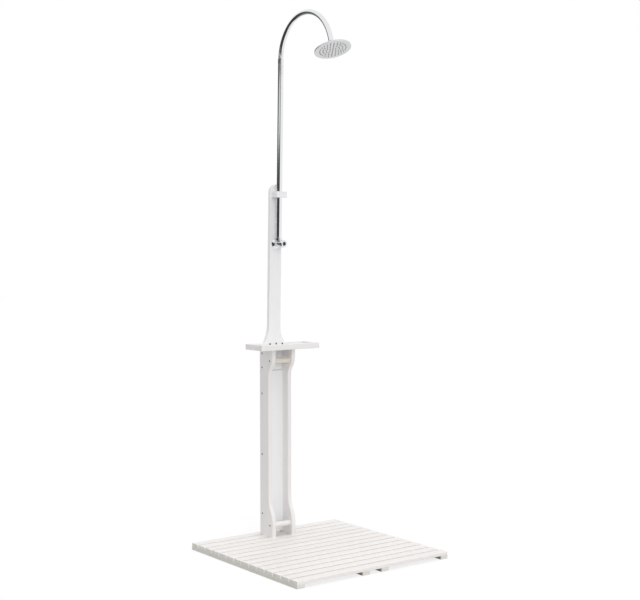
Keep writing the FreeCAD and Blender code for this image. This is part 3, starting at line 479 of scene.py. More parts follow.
class Finish(Nodes):
    """A material, its nodes, and short ways to the ones that the finishes share."""

    def __init__(self, name, base=(0.8, 0.8, 0.8), roughness=0.5, metallic=0.0):
        self.material = bpy.data.materials.new(name)
        self.material.use_nodes = True
        super().__init__(self.material.node_tree)
        self.shader = self.tree.nodes["Principled BSDF"]
        self.give("Base Color", (*base, 1))
        self.give("Roughness", roughness)
        self.give("Metallic", metallic)

    def give(self, socket, value):
        self.feed(self.shader.inputs[socket], value)

    def shade_by(self, shader):
        """Shows another shader in place of the usual one."""
        self.tree.nodes.remove(self.shader)
        self.feed(self.tree.nodes["Material Output"].inputs["Surface"], shader)

    def place(self):
        return self.node("TexCoord").outputs["Object"]

    def parts(self, vector):
        return self.node("SeparateXYZ", {"Vector": vector}).outputs

    def stretched(self, along, across_size, along_size):
        """Object coordinates divided by the size of one fibre, so that grain runs along one axis."""
        scale = [1 / across_size] * 3
        scale["XYZ".index(along)] = 1 / along_size
        return self.node("Mapping", {"Vector": self.place(), "Scale": scale}).outputs[0]

    def noise(self, vector, detail, roughness=0.55):
        values = {"Vector": vector, "Scale": 1.0, "Detail": detail, "Roughness": roughness}
        return self.node("TexNoise", values).outputs["Fac"]

    def blend(self, factor, first, second, kind="MIX"):
        made = self.node("Mix", data_type="RGBA", blend_type=kind, clamp_result=False)
        self.feed(made.inputs["Factor"], factor)
        colours = [socket for socket in made.inputs if socket.type == "RGBA"]
        self.feed(colours[0], first)
        self.feed(colours[1], second)
        return next(socket for socket in made.outputs if socket.type == "RGBA")

    def span(self, value, new_low, new_high, low=0.3, high=0.7):
        """A smooth step from one level to another; noise lies mostly between 0.3 and 0.7."""
        values = {"Value": value, "From Min": low, "From Max": high, "To Min": new_low, "To Max": new_high}
        return self.node("MapRange", values, interpolation_type="SMOOTHSTEP").outputs[0]

    def relief(self, height, distance, strength):
        bump = self.node("Bump", {"Height": height, "Distance": distance, "Strength": strength})
        self.give("Normal", bump.outputs[0])


def slat_tone(finish):
    """A tone for each slat, drawn by white noise from the number of the slat's row, counted from the rear."""
    timber = settings().timber
    first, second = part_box("slat_01")[0].y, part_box("slat_02")[0].y
    pitch = abs(first - second)
    behind = finish.math("SUBTRACT", first + pitch, finish.parts(finish.place())["Y"])
    row = finish.math("FLOOR", finish.math("DIVIDE", behind, pitch))
    seed = finish.math("ADD", row, float(timber.tone_draw))
    draw = finish.node("TexWhiteNoise", {"W": seed}, noise_dimensions="1D").outputs["Value"]
    return finish.span(draw, -timber.tone_spread, timber.tone_spread * 0.4, low=0.0, high=1.0)


def underdeck_painted_shade(finish, upward):
    """1 where a bearer gets painted shade under the deck: not on its top, and further in from the deck's rim than
    a margin.
    """
    # The painted shade begins 2 mm inside the deck's rim and is full 10 mm in
    rim, brushed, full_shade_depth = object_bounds()[1].x, 2 * MM, 10 * MM
    place = finish.parts(finish.place())
    out = finish.math("MAXIMUM", *(finish.math("ABSOLUTE", place[way]) for way in "XY"))
    inside = finish.span(out, 1.0, 0.0, low=rim - full_shade_depth, high=rim - brushed)
    return finish.math("MULTIPLY", inside, finish.span(upward, 1.0, 0.0))


def painted_timber(name, paint, along):
    """White satin paint over softwood: grain shows through, tone wanders, and ends drink more of it."""
    timber, fibre_tones, streak_tones, plain_end = settings().timber, (0.984, 1.007), (-0.010, 0.006), 0.93
    base = tuple(getattr(timber, paint + "_colour"))
    finish = Finish(name, base, timber.sheen)
    fibres = finish.noise(finish.stretched(along, timber.fibre_width, timber.fibre_length), detail=5.0)
    broad = finish.noise(finish.stretched(along, timber.streak_width, timber.streak_length), detail=2.0)
    tone = finish.math("ADD", finish.span(fibres, *fibre_tones, high=0.72), finish.span(broad, *streak_tones))
    if paint == "deck":
        tone = finish.math("ADD", tone, slat_tone(finish))
    normal = finish.parts(finish.node("NewGeometry").outputs["Normal"])
    end = finish.span(finish.math("ABSOLUTE", normal[along]), 0.0, 1.0, low=0.6, high=0.95)
    patches = finish.stretched(along, timber.patch_size, timber.patch_size)
    patches = finish.noise(patches, detail=6.0, roughness=0.7)
    end = finish.math("MULTIPLY", end, finish.span(patches, 0.45, 1.0, low=0.25, high=0.75))
    # The bearers' ends keep a lighter paint than their sides, which carry painted shade
    ends = {"deck": timber.end_colour, "bearer": timber.bearer_end}
    end_tint = ends.get(paint, [plain_end * part for part in base])
    tint = finish.blend(end, (*base, 1), (*end_tint, 1))
    if paint == "bearer":
        # Painted shade: the bearers' sides under the deck turn to the dark under-deck colour
        tint = finish.blend(underdeck_painted_shade(finish, normal["Z"]), tint, (*timber.bare_colour, 1))
    shade = finish.node("CombineColor", {"Red": tone, "Green": tone, "Blue": tone})
    finish.give("Base Color", finish.blend(1.0, tint, shade.outputs[0], "MULTIPLY"))
    finish.give("Roughness", finish.span(fibres, timber.sheen + 0.07, timber.sheen - 0.05))
    brush = finish.noise(finish.stretched(along, timber.bristle_width, timber.bristle_length), detail=3.0)
    brush_share, strength = 0.35, 0.8
    height = finish.math("ADD", fibres, finish.math("MULTIPLY", brush, brush_share))
    finish.relief(height, timber.grain_depth, strength)
    finish.give("Specular IOR Level", 0.42)
    return finish.material


def chrome(name, rough):
    """Chrome whose gloss wanders a little over its surface."""
    finish = Finish(name, settings().finishes.chrome_colour, rough, 1.0)
    wander = finish.noise(finish.stretched("Z", 30 * MM, 60 * MM), detail=3.0)
    finish.give("Roughness", finish.span(wander, rough * 0.75, rough * 1.35))
    return finish.material


def spray_plate(name, base, rough, rings_per_metre=2600.0):
    """Satin plate of the spray face, brushed in circles about the head's middle."""
    finish = Finish(name, base, rough, 1.0)
    middle = {0: finish.place(), 1: tuple(spray_axis().origin)}
    offset = finish.node("VectorMath", middle, operation="SUBTRACT").outputs[0]
    distance = finish.node("VectorMath", {0: offset}, operation="LENGTH").outputs["Value"]
    values = {"W": finish.math("MULTIPLY", distance, rings_per_metre), "Detail": 2.0}
    rings = finish.node("TexNoise", values, noise_dimensions="1D").outputs["Fac"]
    finish.give("Roughness", finish.span(rings, rough - 0.06, rough + 0.08))
    finish.relief(rings, 0.02 * MM, strength=0.5)
    return finish.material


def turned_metal(name, base, rough, rings_per_metre=1500.0):
    """Plain metal with fine tool marks round it."""
    finish = Finish(name, base, rough, 1.0)
    marks = finish.noise(finish.stretched("Y", 20 * MM, 1 / rings_per_metre), detail=2.0)
    finish.give("Roughness", finish.span(marks, rough - 0.07, rough + 0.1))
    finish.relief(marks, 0.02 * MM, strength=0.4)
    return finish.material


def moulded(name, base, rough, texture=0.7 * MM):
    """Rubber, plastic or ceramic with a fine moulded skin."""
    finish = Finish(name, base, rough)
    skin = finish.noise(finish.stretched("X", texture, texture), detail=3.0)
    finish.give("Roughness", finish.span(skin, rough - 0.06, rough + 0.08))
    finish.relief(skin, 0.03 * MM, strength=0.5)
    return finish.material


def finish_named(name):
    """The finish of that name, made the first time it is asked for."""
    if name in bpy.data.materials:
        return bpy.data.materials[name]
    if " paint along " in name:
        return painted_timber(name, *name.split(" paint along "))
    given = settings().finishes
    maker, *values = {
        "chrome": (chrome, given.chrome_roughness),
        "head chrome": (chrome, given.dome_roughness),
        "satin spray plate": (spray_plate, given.plate_colour, given.plate_roughness),
        "plain brass": (turned_metal, given.brass_colour, 0.3),
        "screw steel": (turned_metal, given.steel_colour, 0.38),
        "nozzle rubber": (moulded, given.nozzle_colour, 0.55),
        "black rubber": (moulded, given.rubber_colour, 0.62),
        "knob button": (moulded, given.cap_colour, 0.16, 4 * MM),
        "seat plastic": (moulded, given.ring_colour, 0.4),
        "polished ceramic": (moulded, given.ceramic_colour, 0.12, 3 * MM),
    }[name]
    return maker(name, *values)


# The paint on each family of boards, and the way the grain runs; the others have the post's paint, along X
PAINTS = {
    "slat": "deck", "bearer": "bearer", "mast": "board", "back": "board", "pipe": "board", "upper": "rail",
}
GRAINS = {
    "bearer": "Y", "left": "Z", "right": "Z", "back": "Z", "mast": "Z", "pipe": "Z",
    "tray_left_rim": "Y", "tray_right_rim": "Y",
}
SLOT_FINISHES = {
    "chrome": "chrome", "brass": "plain brass", "screw_steel": "screw steel", "ceramic": "polished ceramic",
    "nozzle_rubber": "nozzle rubber", "seal_rubber": "black rubber", "seat_plastic": "seat plastic",
    "dark_plastic": "knob button", "face_plate": "satin spray plate",
}


def slot_of(node):
    """The record's material slot of a node."""
    return next(part["material_slot"] for part in frame["record"]["subparts"] if part["node"] == node)


def finish_of(node):
    """The finish that a node of the frame gets, which the piece that stands for it has as well."""
    slot, family = slot_of(node), node.split("_")[0]
    if node == "head_shell":
        return finish_named("head chrome")
    if slot != "painted_wood":
        return finish_named(SLOT_FINISHES[slot])
    paint, along = PAINTS.get(family, "post"), GRAINS.get(node, GRAINS.get(family, "X"))
    return finish_named(paint + " paint along " + along)


# ---------------------------------------------------------------- operators: deck and column

class SHOWER_OT_finishes(bpy.types.Operator):
    """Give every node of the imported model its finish"""

    bl_idname = "shower.finishes"
    bl_label = "Finish the nodes"

    def execute(self, context):
        for name, node in frame["nodes"].items():
            node.data.materials.clear()
            node.data.materials.append(finish_of(name))
        return {"FINISHED"}


class SHOWER_OT_slats(bpy.types.Operator):
    """Plane the deck's slats with rounded edges"""

    bl_idname = "shower.slats"
    bl_label = "Deck slats"

    def execute(self, context):
        timber = settings().timber
        for node in sorted(frame["nodes"]):
            if node.startswith("slat_") and node != "slat_screws":
                board = planed_board(*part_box(node), timber.top_round, timber.foot_round, timber.end_round)
                surface("deck_" + node, node, board)
        return {"FINISHED"}


class SHOWER_OT_rails(bpy.types.Operator):
    """Turn the two round rails between the column's sides"""

    bl_idname = "shower.rails"
    bl_label = "Round rails"

    def execute(self, context):
        ease = settings().timber.rail_round
        for node in ("upper_rail", "lower_rail"):
            low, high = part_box(node)
            middle, radius = (low + high) / 2, (high.z - low.z) / 2
            half = high.x - middle.x
            profile = [(0, -half)] + arc((radius - ease, -half), (radius, ease - half), -ease, 6)
            profile += arc((radius, half - ease), (radius - ease, half), -ease, 6) + [(0, half)]
            axis = Axis(middle, (1, 0, 0), across=(0, 1, 0))
            surface("column_" + node, node, turned(axis, profile, 56, closed=False))
        return {"FINISHED"}


# ---------------------------------------------------------------- operators: screws

# Radius of the head, radius of the shank and depth of the head
WOOD_SCREW = (3.9 * MM, 2.0 * MM, 2.4 * MM)
COACH_SCREW = (6.4 * MM, 3.0 * MM, 3.4 * MM)


def screw_places(node, holder, way, head_width=9.5 * MM, flatness=0.15 * MM):
    """Where the heads of a node's screws lie.

    Of the vertices inside the box of the holding node, those furthest along a direction belong to heads, and
    they are gathered by nearness.
    """
    mesh = frame["nodes"][node].data
    vertices = np.empty(len(mesh.vertices) * 3)
    mesh.vertices.foreach_get("co", vertices)
    vertices = vertices.reshape(-1, 3)
    low, high = (np.array(corner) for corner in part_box(holder))
    vertices = vertices[((vertices > low) & (vertices < high)).all(axis=1)]
    depth = vertices @ np.array(way, float)
    rims = vertices[depth > depth.max() - flatness]
    places = []
    while len(rims):
        near = np.linalg.norm(rims - rims[0], axis=1) < head_width
        places.append((rims[near].min(axis=0) + rims[near].max(axis=0)) / 2)
        rims = rims[~near]
    return np.array(places)


def screw_grid(places, way, screw, reach, rows=9, segments=24):
    """Cross-head screws, one grid each.

    The head's top falls away to its edge by the fourth power of the distance; the cross is sunk by its depth
    wherever |x| or |y| is under half its width and the distance from the middle is under its reach.
    """
    given, (head, shank, depth) = settings().screws, screw
    fall, edge, neck = 0.25 * MM, 0.5 * depth, 1.15 * shank
    helper = (0.0, 0.0, 1.0) if abs(way[2]) < 0.9 else (0.0, 1.0, 0.0)
    axis = Axis((0, 0, 0), way, across=np.cross(helper, way))
    a, whole = full_turn(segments), np.ones((1, segments))
    r = np.linspace(0, 1, rows)[:, None] ** 0.8 * whole
    arm = np.minimum(np.abs(r * np.cos(a)), np.abs(r * np.sin(a))) < given.slot_width
    top = -np.where(arm & (r < given.slot_length), given.slot_depth, 0.0) - fall * r**4
    top[0] = top[0].min()
    below = [(head, -edge), (neck, -depth), (shank, -depth - shank), (shank, -reach), (0.0, -reach)]
    radii = np.concatenate([r * head, *(whole * radius for radius, _ in below)])
    levels = np.concatenate([top, *(whole * level for _, level in below)])
    return places[:, None, None, :] + around(axis, a, radii, levels)[None], False


class SHOWER_OT_screws(bpy.types.Operator):
    """Cut cross-head screws into the column, tray, block and deck"""

    bl_idname = "shower.screws"
    bl_label = "Screws"

    def execute(self, context):
        bearers = sorted(name for name in frame["nodes"] if name.startswith("bearer_"))
        behind, down = -tap_axis().along, (0, 0, -1)
        # For each node: where its heads lie, the way they face, the screw, and its length in millimetres
        groups = {
            "column_screws": [
                ("right_side_panel", (1, 0, 0), WOOD_SCREW, 34),
                ("left_side_panel", (-1, 0, 0), WOOD_SCREW, 34),
            ],
            "tray_screws": [
                ("tray_floor", (0, 0, 1), WOOD_SCREW, 24),
                ("tray_rear_rim", (0, -1, 0), WOOD_SCREW, 22),
            ],
            "block_screws": [("mast_board", behind, WOOD_SCREW, 34)],
            "slat_screws": [(bearer, down, WOOD_SCREW, 22) for bearer in bearers],
            "deck_bolts": [(bearer, down, COACH_SCREW, 88) for bearer in bearers[1:3]],
        }
        for node, sides in groups.items():
            grids = [
                screw_grid(screw_places(node, holder, way), way, screw, reach * MM)
                for holder, way, screw, reach in sides
            ]
            surface("crosshead_" + node, node, *grids)
        return {"FINISHED"}


# ---------------------------------------------------------------- operators: pipes

PLAY = 0.05 * MM  # gap left between a piece and what it is pushed on or into


class SHOWER_OT_pipes(bpy.types.Operator):
    """Draw the riser and its sleeve, and bend the top pipe"""

    bl_idname = "shower.pipes"
    bl_label = "Pipes"

    def execute(self, context):
        given, mast = settings().pipes, mast_axis()
        outer, bore = given.riser_radius, given.riser_radius - given.riser_wall
        foot, top = given.riser_foot, given.sleeve_foot
        collar, shoulder = outer + 0.9 * MM, foot + 1.5 * MM
        riser = [(bore, foot), (collar, foot), (collar, shoulder), (outer, shoulder)]
        riser += [(outer, top), (bore, top)]
        surface("straight_pipe", "riser_pipe", turned(mast, eased(riser, 0.3 * MM)))
        sleeve, neck, end = given.sleeve_radius, given.neck_radius, given.sleeve_top
        throat, plug, ledge = neck - 1.7 * MM, top - 25 * MM, top + 4 * MM
        ring = [(throat, plug), (bore - PLAY, plug), (bore - PLAY, top), (sleeve, top)]
        ring += groove(sleeve, top + 6 * MM, 0.35 * MM)
        ring += [(sleeve, end), (neck + PLAY, end), (neck + PLAY, ledge), (throat, ledge)]
        surface("pipe_sleeve", "coupling_sleeve", turned(mast, eased(ring, 0.4 * MM)))
        surface("bent_pipe", "gooseneck_pipe", swept_pipe(*bent_path(), neck, neck - given.neck_wall))
        return {"FINISHED"}


def bent_path(steps=64):
    """Stations of the bent pipe: straight up out of the sleeve, over the top in two circular bends, and down.

    On the rising bend the point is R (1 - cos t) forward and R sin t up for t from 0 to a quarter turn; on
    the falling bend, of radius S, it goes on by S sin s forward and S (cos s - 1) up. The tangents are the
    derivatives.
    """
    given, mast = settings().pipes, mast_axis()
    forward = tap_axis().along
    rise = np.linspace(given.sleeve_foot + 4 * MM, given.sleeve_top, 4)[:-1]
    t = np.linspace(0, math.pi / 2, steps)[:-1]
    s = np.linspace(0, given.falling_sweep, steps)
    one, two, top = given.rising_bend, given.falling_bend, given.sleeve_top
    ahead = np.concatenate([rise * 0, one * (1 - np.cos(t)), one + two * np.sin(s)])
    up = np.concatenate([rise, top + one * np.sin(t), top + one - two * (1 - np.cos(s))])
    ahead_way = np.concatenate([rise * 0, np.sin(t), np.cos(s)])
    up_way = np.concatenate([rise * 0 + 1, np.cos(t), -np.sin(s)])
    centres = mast.origin + ahead[:, None] * forward + up[:, None] * mast.along
    tangents = ahead_way[:, None] * forward + up_way[:, None] * mast.along
    return centres, tangents


# ---------------------------------------------------------------- operators: tap

SHANK = 10.4 * MM  # radius of the tap's shank, which goes back through the board


class SHOWER_OT_tap(bpy.types.Operator):
    """Turn the tap's rose, body, nut and hose connector"""

    bl_idname = "shower.tap"
    bl_label = "Tap"

    def execute(self, context):
        given, tap, mast = settings().tap, tap_axis(), mast_axis()
        rim, lip, barrel, hole = given.rose_radius, 7 * MM, given.body_radius, SHANK + 0.2 * MM
        rose = [(hole, 0), (rim, 0), (rim, 0.7 * MM)]
        rose += arc((rim - 0.3 * MM, 1.0 * MM), (barrel + 0.3 * MM, lip), 60 * MM, 18) + [(hole, lip)]
        surface("tap_rose", "wall_flange", turned(tap, rose))
        front, seat, tail, back = given.body_front, 12 * MM, -31.5 * MM, lip + 0.2 * MM
        inlet, chamber = 6 * MM, 9 * MM
        body = [
            (inlet, tail), (SHANK, tail), (SHANK, back), (barrel, back), (barrel, front), (chamber, front),
            (chamber, seat), (inlet, seat),
        ]
        boss, outlet, low, high = given.boss_radius, 7 * MM, 9 * MM, 20 * MM
        socket = [(outlet, low), (boss, low), (boss, high), (outlet, high)]
        barrels = turned(tap, eased(body, 0.6 * MM)), turned(mast, eased(socket, 0.4 * MM))
        surface("tap_body", "valve_body", *barrels)
        foot, top, outer, bevel, rest = 13.4 * MM, 25.4 * MM, 14.5 * MM, 13.8 * MM, 23.1 * MM
        eye, pocket = 12.1 * MM, 13.1 * MM
        nut = [
            (boss + PLAY, foot), (bevel, foot), (outer, foot + 0.8 * MM), (outer, top - 0.8 * MM),
            (bevel, top), (eye, top), (eye, rest), (pocket, rest), (pocket, high), (boss + PLAY, high),
        ]
        grip = given.nut_ribs * 8, given.nut_ribs, given.rib_depth, lambda r, h: r > outer - 0.3 * MM
        surface("riser_nut", "union_nut", turned(mast, eased(nut, 0.35 * MM), *grip))
        surface("hose_joiner", "hose_connector", turned(tap, self.hose_profile()))
        return {"FINISHED"}

    def hose_profile(self):
        """Barrel that screws on the shank, a groove for the coupling's catch, and the nose for the hose."""
        start, end, step, tip, stop = -26 * MM, -33.5 * MM, -37 * MM, -48 * MM, -31.7 * MM
        barrel, nose, neck, bore, thread = 13 * MM, 8.3 * MM, 6.7 * MM, 5 * MM, SHANK + PLAY
        ring, ring_start, ring_end = nose - 0.9 * MM, step - 4.4 * MM, step - 6.4 * MM
        corners = [(thread, start), (barrel - MM, start), (barrel, start - MM)]
        corners += groove(barrel, start - 3 * MM, 0.5 * MM, -1)
        corners += [
            (barrel, end + MM), (barrel - MM, end), (neck, end), (neck, step), (nose, step),
            (nose, ring_start), (ring, ring_start - 0.2 * MM), (ring, ring_end + 0.2 * MM), (nose, ring_end),
            (nose, tip + MM), (nose - MM, tip), (bore, tip), (bore, stop), (thread, stop),
        ]
        return eased(corners, 0.3 * MM)


class SHOWER_OT_knob(bpy.types.Operator):
    """Turn the fluted knob and its dark button"""

    bl_idname = "shower.knob"
    bl_label = "Knob"

    def execute(self, context):
        given, tap = settings().tap, tap_axis()
        back, front, radius, cap = given.knob_back, given.knob_front, given.knob_radius, given.cap_radius
        hub, bore, screw_hole, recess = 12 * MM, 4 * MM, 2.1 * MM, cap + 0.1 * MM
        sink, web_front, web_back = front - 2.2 * MM, 60.1 * MM, 54 * MM
        rear_bevel, front_bevel = 1.5 * MM, 2.6 * MM
        corners = [
            (hub, back), (radius - rear_bevel, back), (radius, back + rear_bevel),
            (radius, front - front_bevel), (radius - front_bevel, front), (cap + 0.6 * MM, front),
            (recess, front - 0.4 * MM), (recess, sink), (screw_hole, sink), (screw_hole, web_front),
            (bore, web_front), (bore, web_back), (hub, web_back),
        ]
        middle, half_flute = (back + front) / 2, 6.5 * MM

        def fluted(r, h):
            """Flutes fade out to both ends of the knob, by the square root of the way from their ends."""
            return (r > radius - 0.1 * MM) * np.clip(1 - np.abs(h - middle) / half_flute, 0, 1) ** 0.5

        flutes = given.knob_flutes * 10, given.knob_flutes, given.flute_depth, fluted
        surface("tap_knob", "valve_knob", turned(tap, eased(corners, 1.2 * MM, 6), *flutes), body="knob")
        base, face = sink + 1.4 * MM, front + 0.6 * MM
        button = [(0, base), (cap, base), (cap, face - 0.8 * MM)]
        button += arc((cap - 0.5 * MM, face - 0.35 * MM), (0, face), -60 * MM, 10)
        surface("knob_button", "knob_cap", turned(tap, button, 48, closed=False), body="knob")
        return {"FINISHED"}


# ---------------------------------------------------------------- operators: head

class SHOWER_OT_ball_joint(bpy.types.Operator):
    """Turn the ball, its plug and the ribbed swivel nut"""

    bl_idname = "shower.ball_joint"
    bl_label = "Ball joint"

    def execute(self, context):
        given, pipes, grip = settings().head, settings().pipes, settings().tap
        spray, tangents = spray_axis(), bent_path()[1]
        ball, neck, drop, pipe = given.ball_radius, given.ball_neck, given.ball_drop, pipes.neck_radius
        bore, plug = 3.5 * MM, pipe - pipes.neck_wall - 0.4 * MM
        collar, end = drop - 2 * MM, drop + 8 * MM
        rows = ball_rows(ball, -math.acos(bore / ball), math.acos(neck / ball), 28)
        rows += [
            (neck, collar - 0.4 * MM), (neck + 0.4 * MM, collar), (pipe - 0.3 * MM, collar),
            (pipe, collar + 0.3 * MM), (pipe, drop), (plug, drop), (plug, end), (bore, end),
        ]
        surface("ball_and_plug", "ball_spigot", turned(Axis(spray.origin, -tangents[-1]), rows))
        seat, nut, thread, lip = given.seat_radius, given.nut_radius, 12.4 * MM, 9.4 * MM
        foot, top, stop = -12 * MM, 5.8 * MM, -MM
        rows = [
            (thread, foot), (nut - MM, foot), (nut - 0.2 * MM, foot + 0.5 * MM), (nut, foot + MM),
            (nut, top - 1.6 * MM), (nut - 0.3 * MM, top - 1.1 * MM), (nut - 1.5 * MM, top), (lip + MM, top),
        ]
        rows += ball_rows(seat, math.acos(lip / seat), 0, 12) + [(seat, stop), (thread, stop)]
        ribs = grip.nut_ribs * 8, grip.nut_ribs, grip.rib_depth, lambda r, h: r > nut - 0.1 * MM
        surface("swivel_grip_nut", "swivel_nut", turned(spray, rows, *ribs), body="head")
        return {"FINISHED"}


class SHOWER_OT_head(bpy.types.Operator):
    """Spin the round dome and set the rubber nozzles in its face"""

    bl_idname = "shower.head"
    bl_label = "Shower head"

    def execute(self, context):
        given, spray = settings().head, spray_axis()
        rim, face, seat, bend = given.head_radius, -given.head_depth, given.seat_radius, given.dome_bend
        collar, bore, shoulder, lip, inner = 12.3 * MM, 5 * MM, -12 * MM, 1.6 * MM, rim - 2 * MM
        rows = ball_rows(seat, -math.asin(lip / seat), -math.acos(bore / seat), 14) + [(bore, shoulder)]
        rows += arc((13 * MM, -14.9 * MM), (rim - 12 * MM, face + 6.6 * MM), bend, 20)
        rows += [(inner, face + 3.5 * MM), (inner, face), (rim - 0.8 * MM, face)]
        rows += arc((rim - 0.6 * MM, face + 0.05 * MM), (rim, face + 0.7 * MM), -0.7 * MM, 5)
        rows += arc((rim, face + 4.5 * MM), (rim - 2.5 * MM, face + 7 * MM), -2.5 * MM, 9)
        rows += arc((rim - 4 * MM, face + 7.35 * MM), (collar + 2 * MM, shoulder - 0.4 * MM), -bend, 26)
        rows += [(collar + 0.3 * MM, shoulder - 0.15 * MM), (collar, shoulder + 0.2 * MM), (collar, -lip)]
        surface("head_dome", "head_shell", turned(spray, rows, 128), body="head")
        surface("nozzle_tips", "nozzle_mat", self.nozzles(given, spray), body="head")
        return {"FINISHED"}

    def nozzles(self, given, spray, segments=16):
        """Rubber tips, one in the middle and 6 k in ring k, at radius k p and turns of 60 / k degrees."""
        rings = np.arange(1, given.nozzle_rings + 1)
        ring = np.concatenate([[0], np.repeat(rings, 6 * rings)])
        step = np.concatenate([[0], *(np.arange(6 * k) for k in rings)])
        turn = math.pi / 3 * step / np.maximum(ring, 1)
        x, y = ring * given.nozzle_pitch * np.cos(turn), ring * given.nozzle_pitch * np.sin(turn)
        base, tip, bore = given.nozzle_radius, given.nozzle_tip, given.nozzle_bore
        face = -given.head_depth
        root, end, well = face + 2 * MM, face - given.nozzle_proud, face - given.nozzle_proud + 1.6 * MM
        rows = [
            (0, root), (base, root), (base - PLAY, face), (tip + 0.1 * MM, end + 0.5 * MM),
            (tip - 0.25 * MM, end), (bore, end), (bore * 0.8, well), (0, well),
        ]
        places = x[:, None] * spray.across + y[:, None] * spray.third
        return turned(spray, rows, segments)[0][None] + places[:, None, None, :], False


# ---------------------------------------------------------------- operators: stage

def smooth_step(value, low, high):
    t = np.clip((value - low) / (high - low), 0, 1)
    return t * t * (3 - 2 * t)


class SHOWER_OT_stage(bpy.types.Operator):
    """Set up the camera, the lamps, the white surroundings and the dark room that the chrome mirrors"""

    bl_idname = "shower.stage"
    bl_label = "Stage"

    def execute(self, context):
        scene, given = context.scene, settings().studio
        scene.view_settings.view_transform = "Standard"
        self.camera(scene, given)
        self.lamps(scene, given)
        self.world(scene, given)
        self.floor(scene, given)
        self.dark_room(scene, given)
        return {"FINISHED"}

    def camera(self, scene, given):
        """The camera's back axis comes from azimuth a and elevation e: (sin a cos e, -cos a cos e, sin e)."""
        a, e, r = given.azimuth, given.elevation, given.roll
        back = Vector((math.sin(a) * math.cos(e), -math.cos(a) * math.cos(e), math.sin(e)))
        right = Vector((math.cos(a), math.sin(a), 0.0))
        up = back.cross(right)
        right, up = right * math.cos(r) + up * math.sin(r), up * math.cos(r) - right * math.sin(r)
        data = bpy.data.cameras.new("camera")
        data.sensor_width, data.lens = 36.0, given.lens
        data.clip_start, data.clip_end = 0.1, 100.0
        camera = bpy.data.objects.new("camera", data)
        target = Vector((given.look_across, 0.0, given.look_up))
        turn = Matrix((right, up, back)).transposed().to_4x4()
        camera.matrix_world = Matrix.Translation(target + back * given.distance) @ turn
        scene.collection.objects.link(camera)
        scene.camera = camera

    def lamps(self, scene, given):
        """A low soft sun in front and a broad one overhead, neither of them seen in the chrome."""
        lights = {
            "front_light": (given.key_way, given.key_strength, given.key_softness),
            "top_light": (given.top_way, given.top_strength, given.top_softness),
        }
        for name, (way, strength, softness) in lights.items():
            data = bpy.data.lights.new(name, "SUN")
            data.energy, data.angle = strength, softness
            lamp = bpy.data.objects.new(name, data)
            lamp.rotation_euler = Vector(way).to_track_quat("Z", "Y").to_euler()
            lamp.location = Vector(way) * 4
            lamp.visible_glossy = False
            scene.collection.objects.link(lamp)

    def world(self, scene, given):
        """White to the eye and in mirrors, and a dimmer even fill for everything else."""
        world = bpy.data.worlds.new("white studio")
        world.use_nodes = True
        nodes, sky = Nodes(world.node_tree), world.node_tree.nodes["Background"].inputs
        nodes.feed(sky["Color"], (1, 1, 1, 1))
        level = nodes.node("MapRange", {"Value": nodes.seen(), "To Min": given.fill, "To Max": 1.0})
        nodes.feed(sky["Strength"], level.outputs[0])
        scene.world = world

    def floor(self, scene, given):
        """White floor that keeps part of the shadow, and throws less light up than it shows."""
        reach, level, white, glare = 30.0, -0.2 * MM, 0.95, 1.02
        corners = [(x * reach, y * reach, level) for x, y in ((-1, -1), (1, -1), (1, 1), (-1, 1))]
        mesh = bpy.data.meshes.new("floor")
        mesh.from_pydata(corners, [], [(0, 1, 2, 3)])
        finish = Finish("white floor")
        seen = finish.seen()
        paint = finish.blend(seen, (given.bounce,) * 3 + (1,), (white,) * 3 + (1,))
        diffuse = finish.node("BsdfDiffuse", {"Color": paint})
        glow = finish.node("Emission", {"Strength": glare})
        bright = finish.math("MULTIPLY", seen, 1 - given.shadow)
        mix = finish.node("MixShader", {0: bright, 1: diffuse.outputs[0], 2: glow.outputs[0]})
        self.set_up(scene, mesh, finish, mix)

    def dark_room(self, scene, given):
        """The dark room to the camera's left, which only mirrors see: a floor that runs into a far wall.

        A row of the grid has a distance from the post and a height in metres, and a column has a turn in
        degrees to the left of the camera. The room is dark, with a pale window in its wall and a lighter part
        behind the post. Each pair of numbers is where a smooth step starts and ends.
        """
        near, far, low, high, floor_rows, wall_rows = 0.75, 8.0, 0.003, 4.4, 24, 60
        degrees = np.linspace(-14, 172, 187)
        away = np.concatenate([np.linspace(near, far, floor_rows), np.full(wall_rows, far)])
        height = np.concatenate([np.full(floor_rows, low), np.linspace(low, high, wall_rows)])
        away, left = np.meshgrid(away, np.radians(degrees), indexing="ij")
        height = np.repeat(height[:, None], len(degrees), axis=1)
        azimuth, degrees = given.azimuth - left, np.degrees(left)
        points = np.stack([np.sin(azimuth) * away, -np.cos(azimuth) * away, height], axis=-1)

        def inside(value, start, end):
            return smooth_step(value, *start) * (1 - smooth_step(value, *end))

        dark, pane, dusk = 0.05, 0.72, 0.14
        window = inside(height, (2.15, 2.35), (2.95, 3.15)) * inside(degrees, (2, 8), (72, 80))
        level = dark + pane * window + dusk * smooth_step(degrees, 100, 130)
        cover = inside(degrees, (-14, -8), (150, 172)) * (1 - smooth_step(height, 3.5, 4.3))
        cover = cover * smooth_step(away, near, 1.1)
        index = np.arange(height.size).reshape(height.shape)
        quads = np.stack([index[:-1, :-1], index[:-1, 1:], index[1:, 1:], index[1:, :-1]], axis=-1)
        mesh = bpy.data.meshes.new("dark_room")
        mesh.from_pydata(points.reshape(-1, 3).tolist(), [], quads.reshape(-1, 4).tolist())
        shades = mesh.attributes.new("shade", "FLOAT_VECTOR", "POINT")
        shades.data.foreach_set("vector", np.stack([level, cover, cover * 0], axis=-1).ravel())
        finish = Finish("dark room")
        shade = finish.parts(finish.node("Attribute", attribute_name="shade").outputs["Vector"])
        clear = finish.node("BsdfTransparent")
        glow = finish.node("Emission", {"Strength": shade["X"]})
        mix = finish.node("MixShader", {0: shade["Y"], 1: clear.outputs[0], 2: glow.outputs[0]})
        room = self.set_up(scene, mesh, finish, mix)
        room.visible_camera = room.visible_diffuse = room.visible_shadow = room.visible_transmission = False

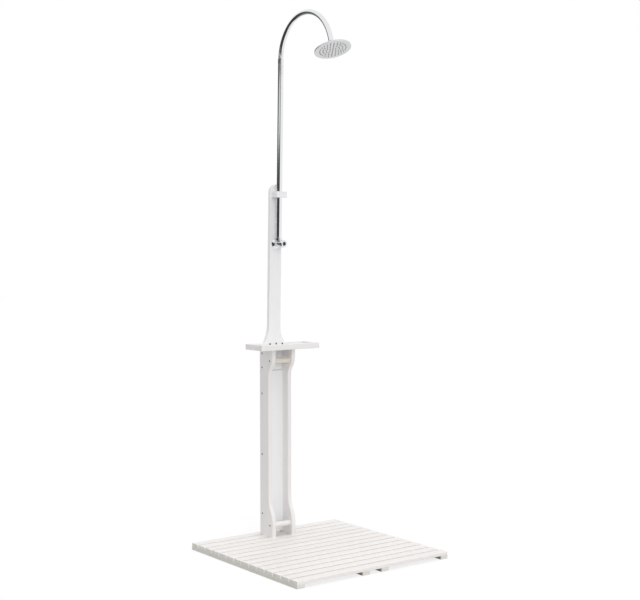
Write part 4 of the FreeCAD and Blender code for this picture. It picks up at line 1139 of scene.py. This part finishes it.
    def set_up(self, scene, mesh, finish, shader):
        """Puts a part of the stage into the scene."""
        finish.shade_by(shader.outputs[0])
        mesh.materials.append(finish.material)
        made = bpy.data.objects.new(mesh.name, mesh)
        scene.collection.objects.link(made)
        made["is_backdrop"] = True
        return made


# ---------------------------------------------------------------- panel and registration

class ShowerSettings(bpy.types.PropertyGroup):
    """All the settings of the shower post."""

    timber: PointerProperty(type=TimberSettings)
    pipes: PointerProperty(type=PipeSettings)
    tap: PointerProperty(type=TapSettings)
    head: PointerProperty(type=HeadSettings)
    screws: PointerProperty(type=ScrewSettings)
    finishes: PointerProperty(type=FinishSettings)
    studio: PointerProperty(type=StudioSettings)


OPERATORS = (
    SHOWER_OT_finishes, SHOWER_OT_slats, SHOWER_OT_rails, SHOWER_OT_screws, SHOWER_OT_pipes, SHOWER_OT_tap,
    SHOWER_OT_knob, SHOWER_OT_ball_joint, SHOWER_OT_head, SHOWER_OT_stage,
)


class SHOWER_PT_panel(bpy.types.Panel):
    """Lists the pieces of the shower post"""

    bl_label = "Shower post"
    bl_space_type = "VIEW_3D"
    bl_region_type = "UI"
    bl_category = "Shower"

    def draw(self, context):
        for operator in OPERATORS:
            self.layout.operator(operator.bl_idname)
        for group in ShowerSettings.__annotations__:
            box = self.layout.box()
            values = getattr(context.scene.shower_post, group)
            for name in type(values).__annotations__:
                box.prop(values, name)


GROUPS = (
    TimberSettings, PipeSettings, TapSettings, HeadSettings, ScrewSettings, FinishSettings, StudioSettings,
    ShowerSettings,
)
CLASSES = GROUPS + OPERATORS + (SHOWER_PT_panel,)


def register():
    for item in CLASSES:
        bpy.utils.register_class(item)
    bpy.types.Scene.shower_post = PointerProperty(type=ShowerSettings)


def unregister():
    del bpy.types.Scene.shower_post
    for item in reversed(CLASSES):
        bpy.utils.unregister_class(item)


def main():
    register()
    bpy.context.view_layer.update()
    for operator in OPERATORS:
        group, name = operator.bl_idname.split(".")
        getattr(getattr(bpy.ops, group), name)()


if __name__ == "__main__":
    main()
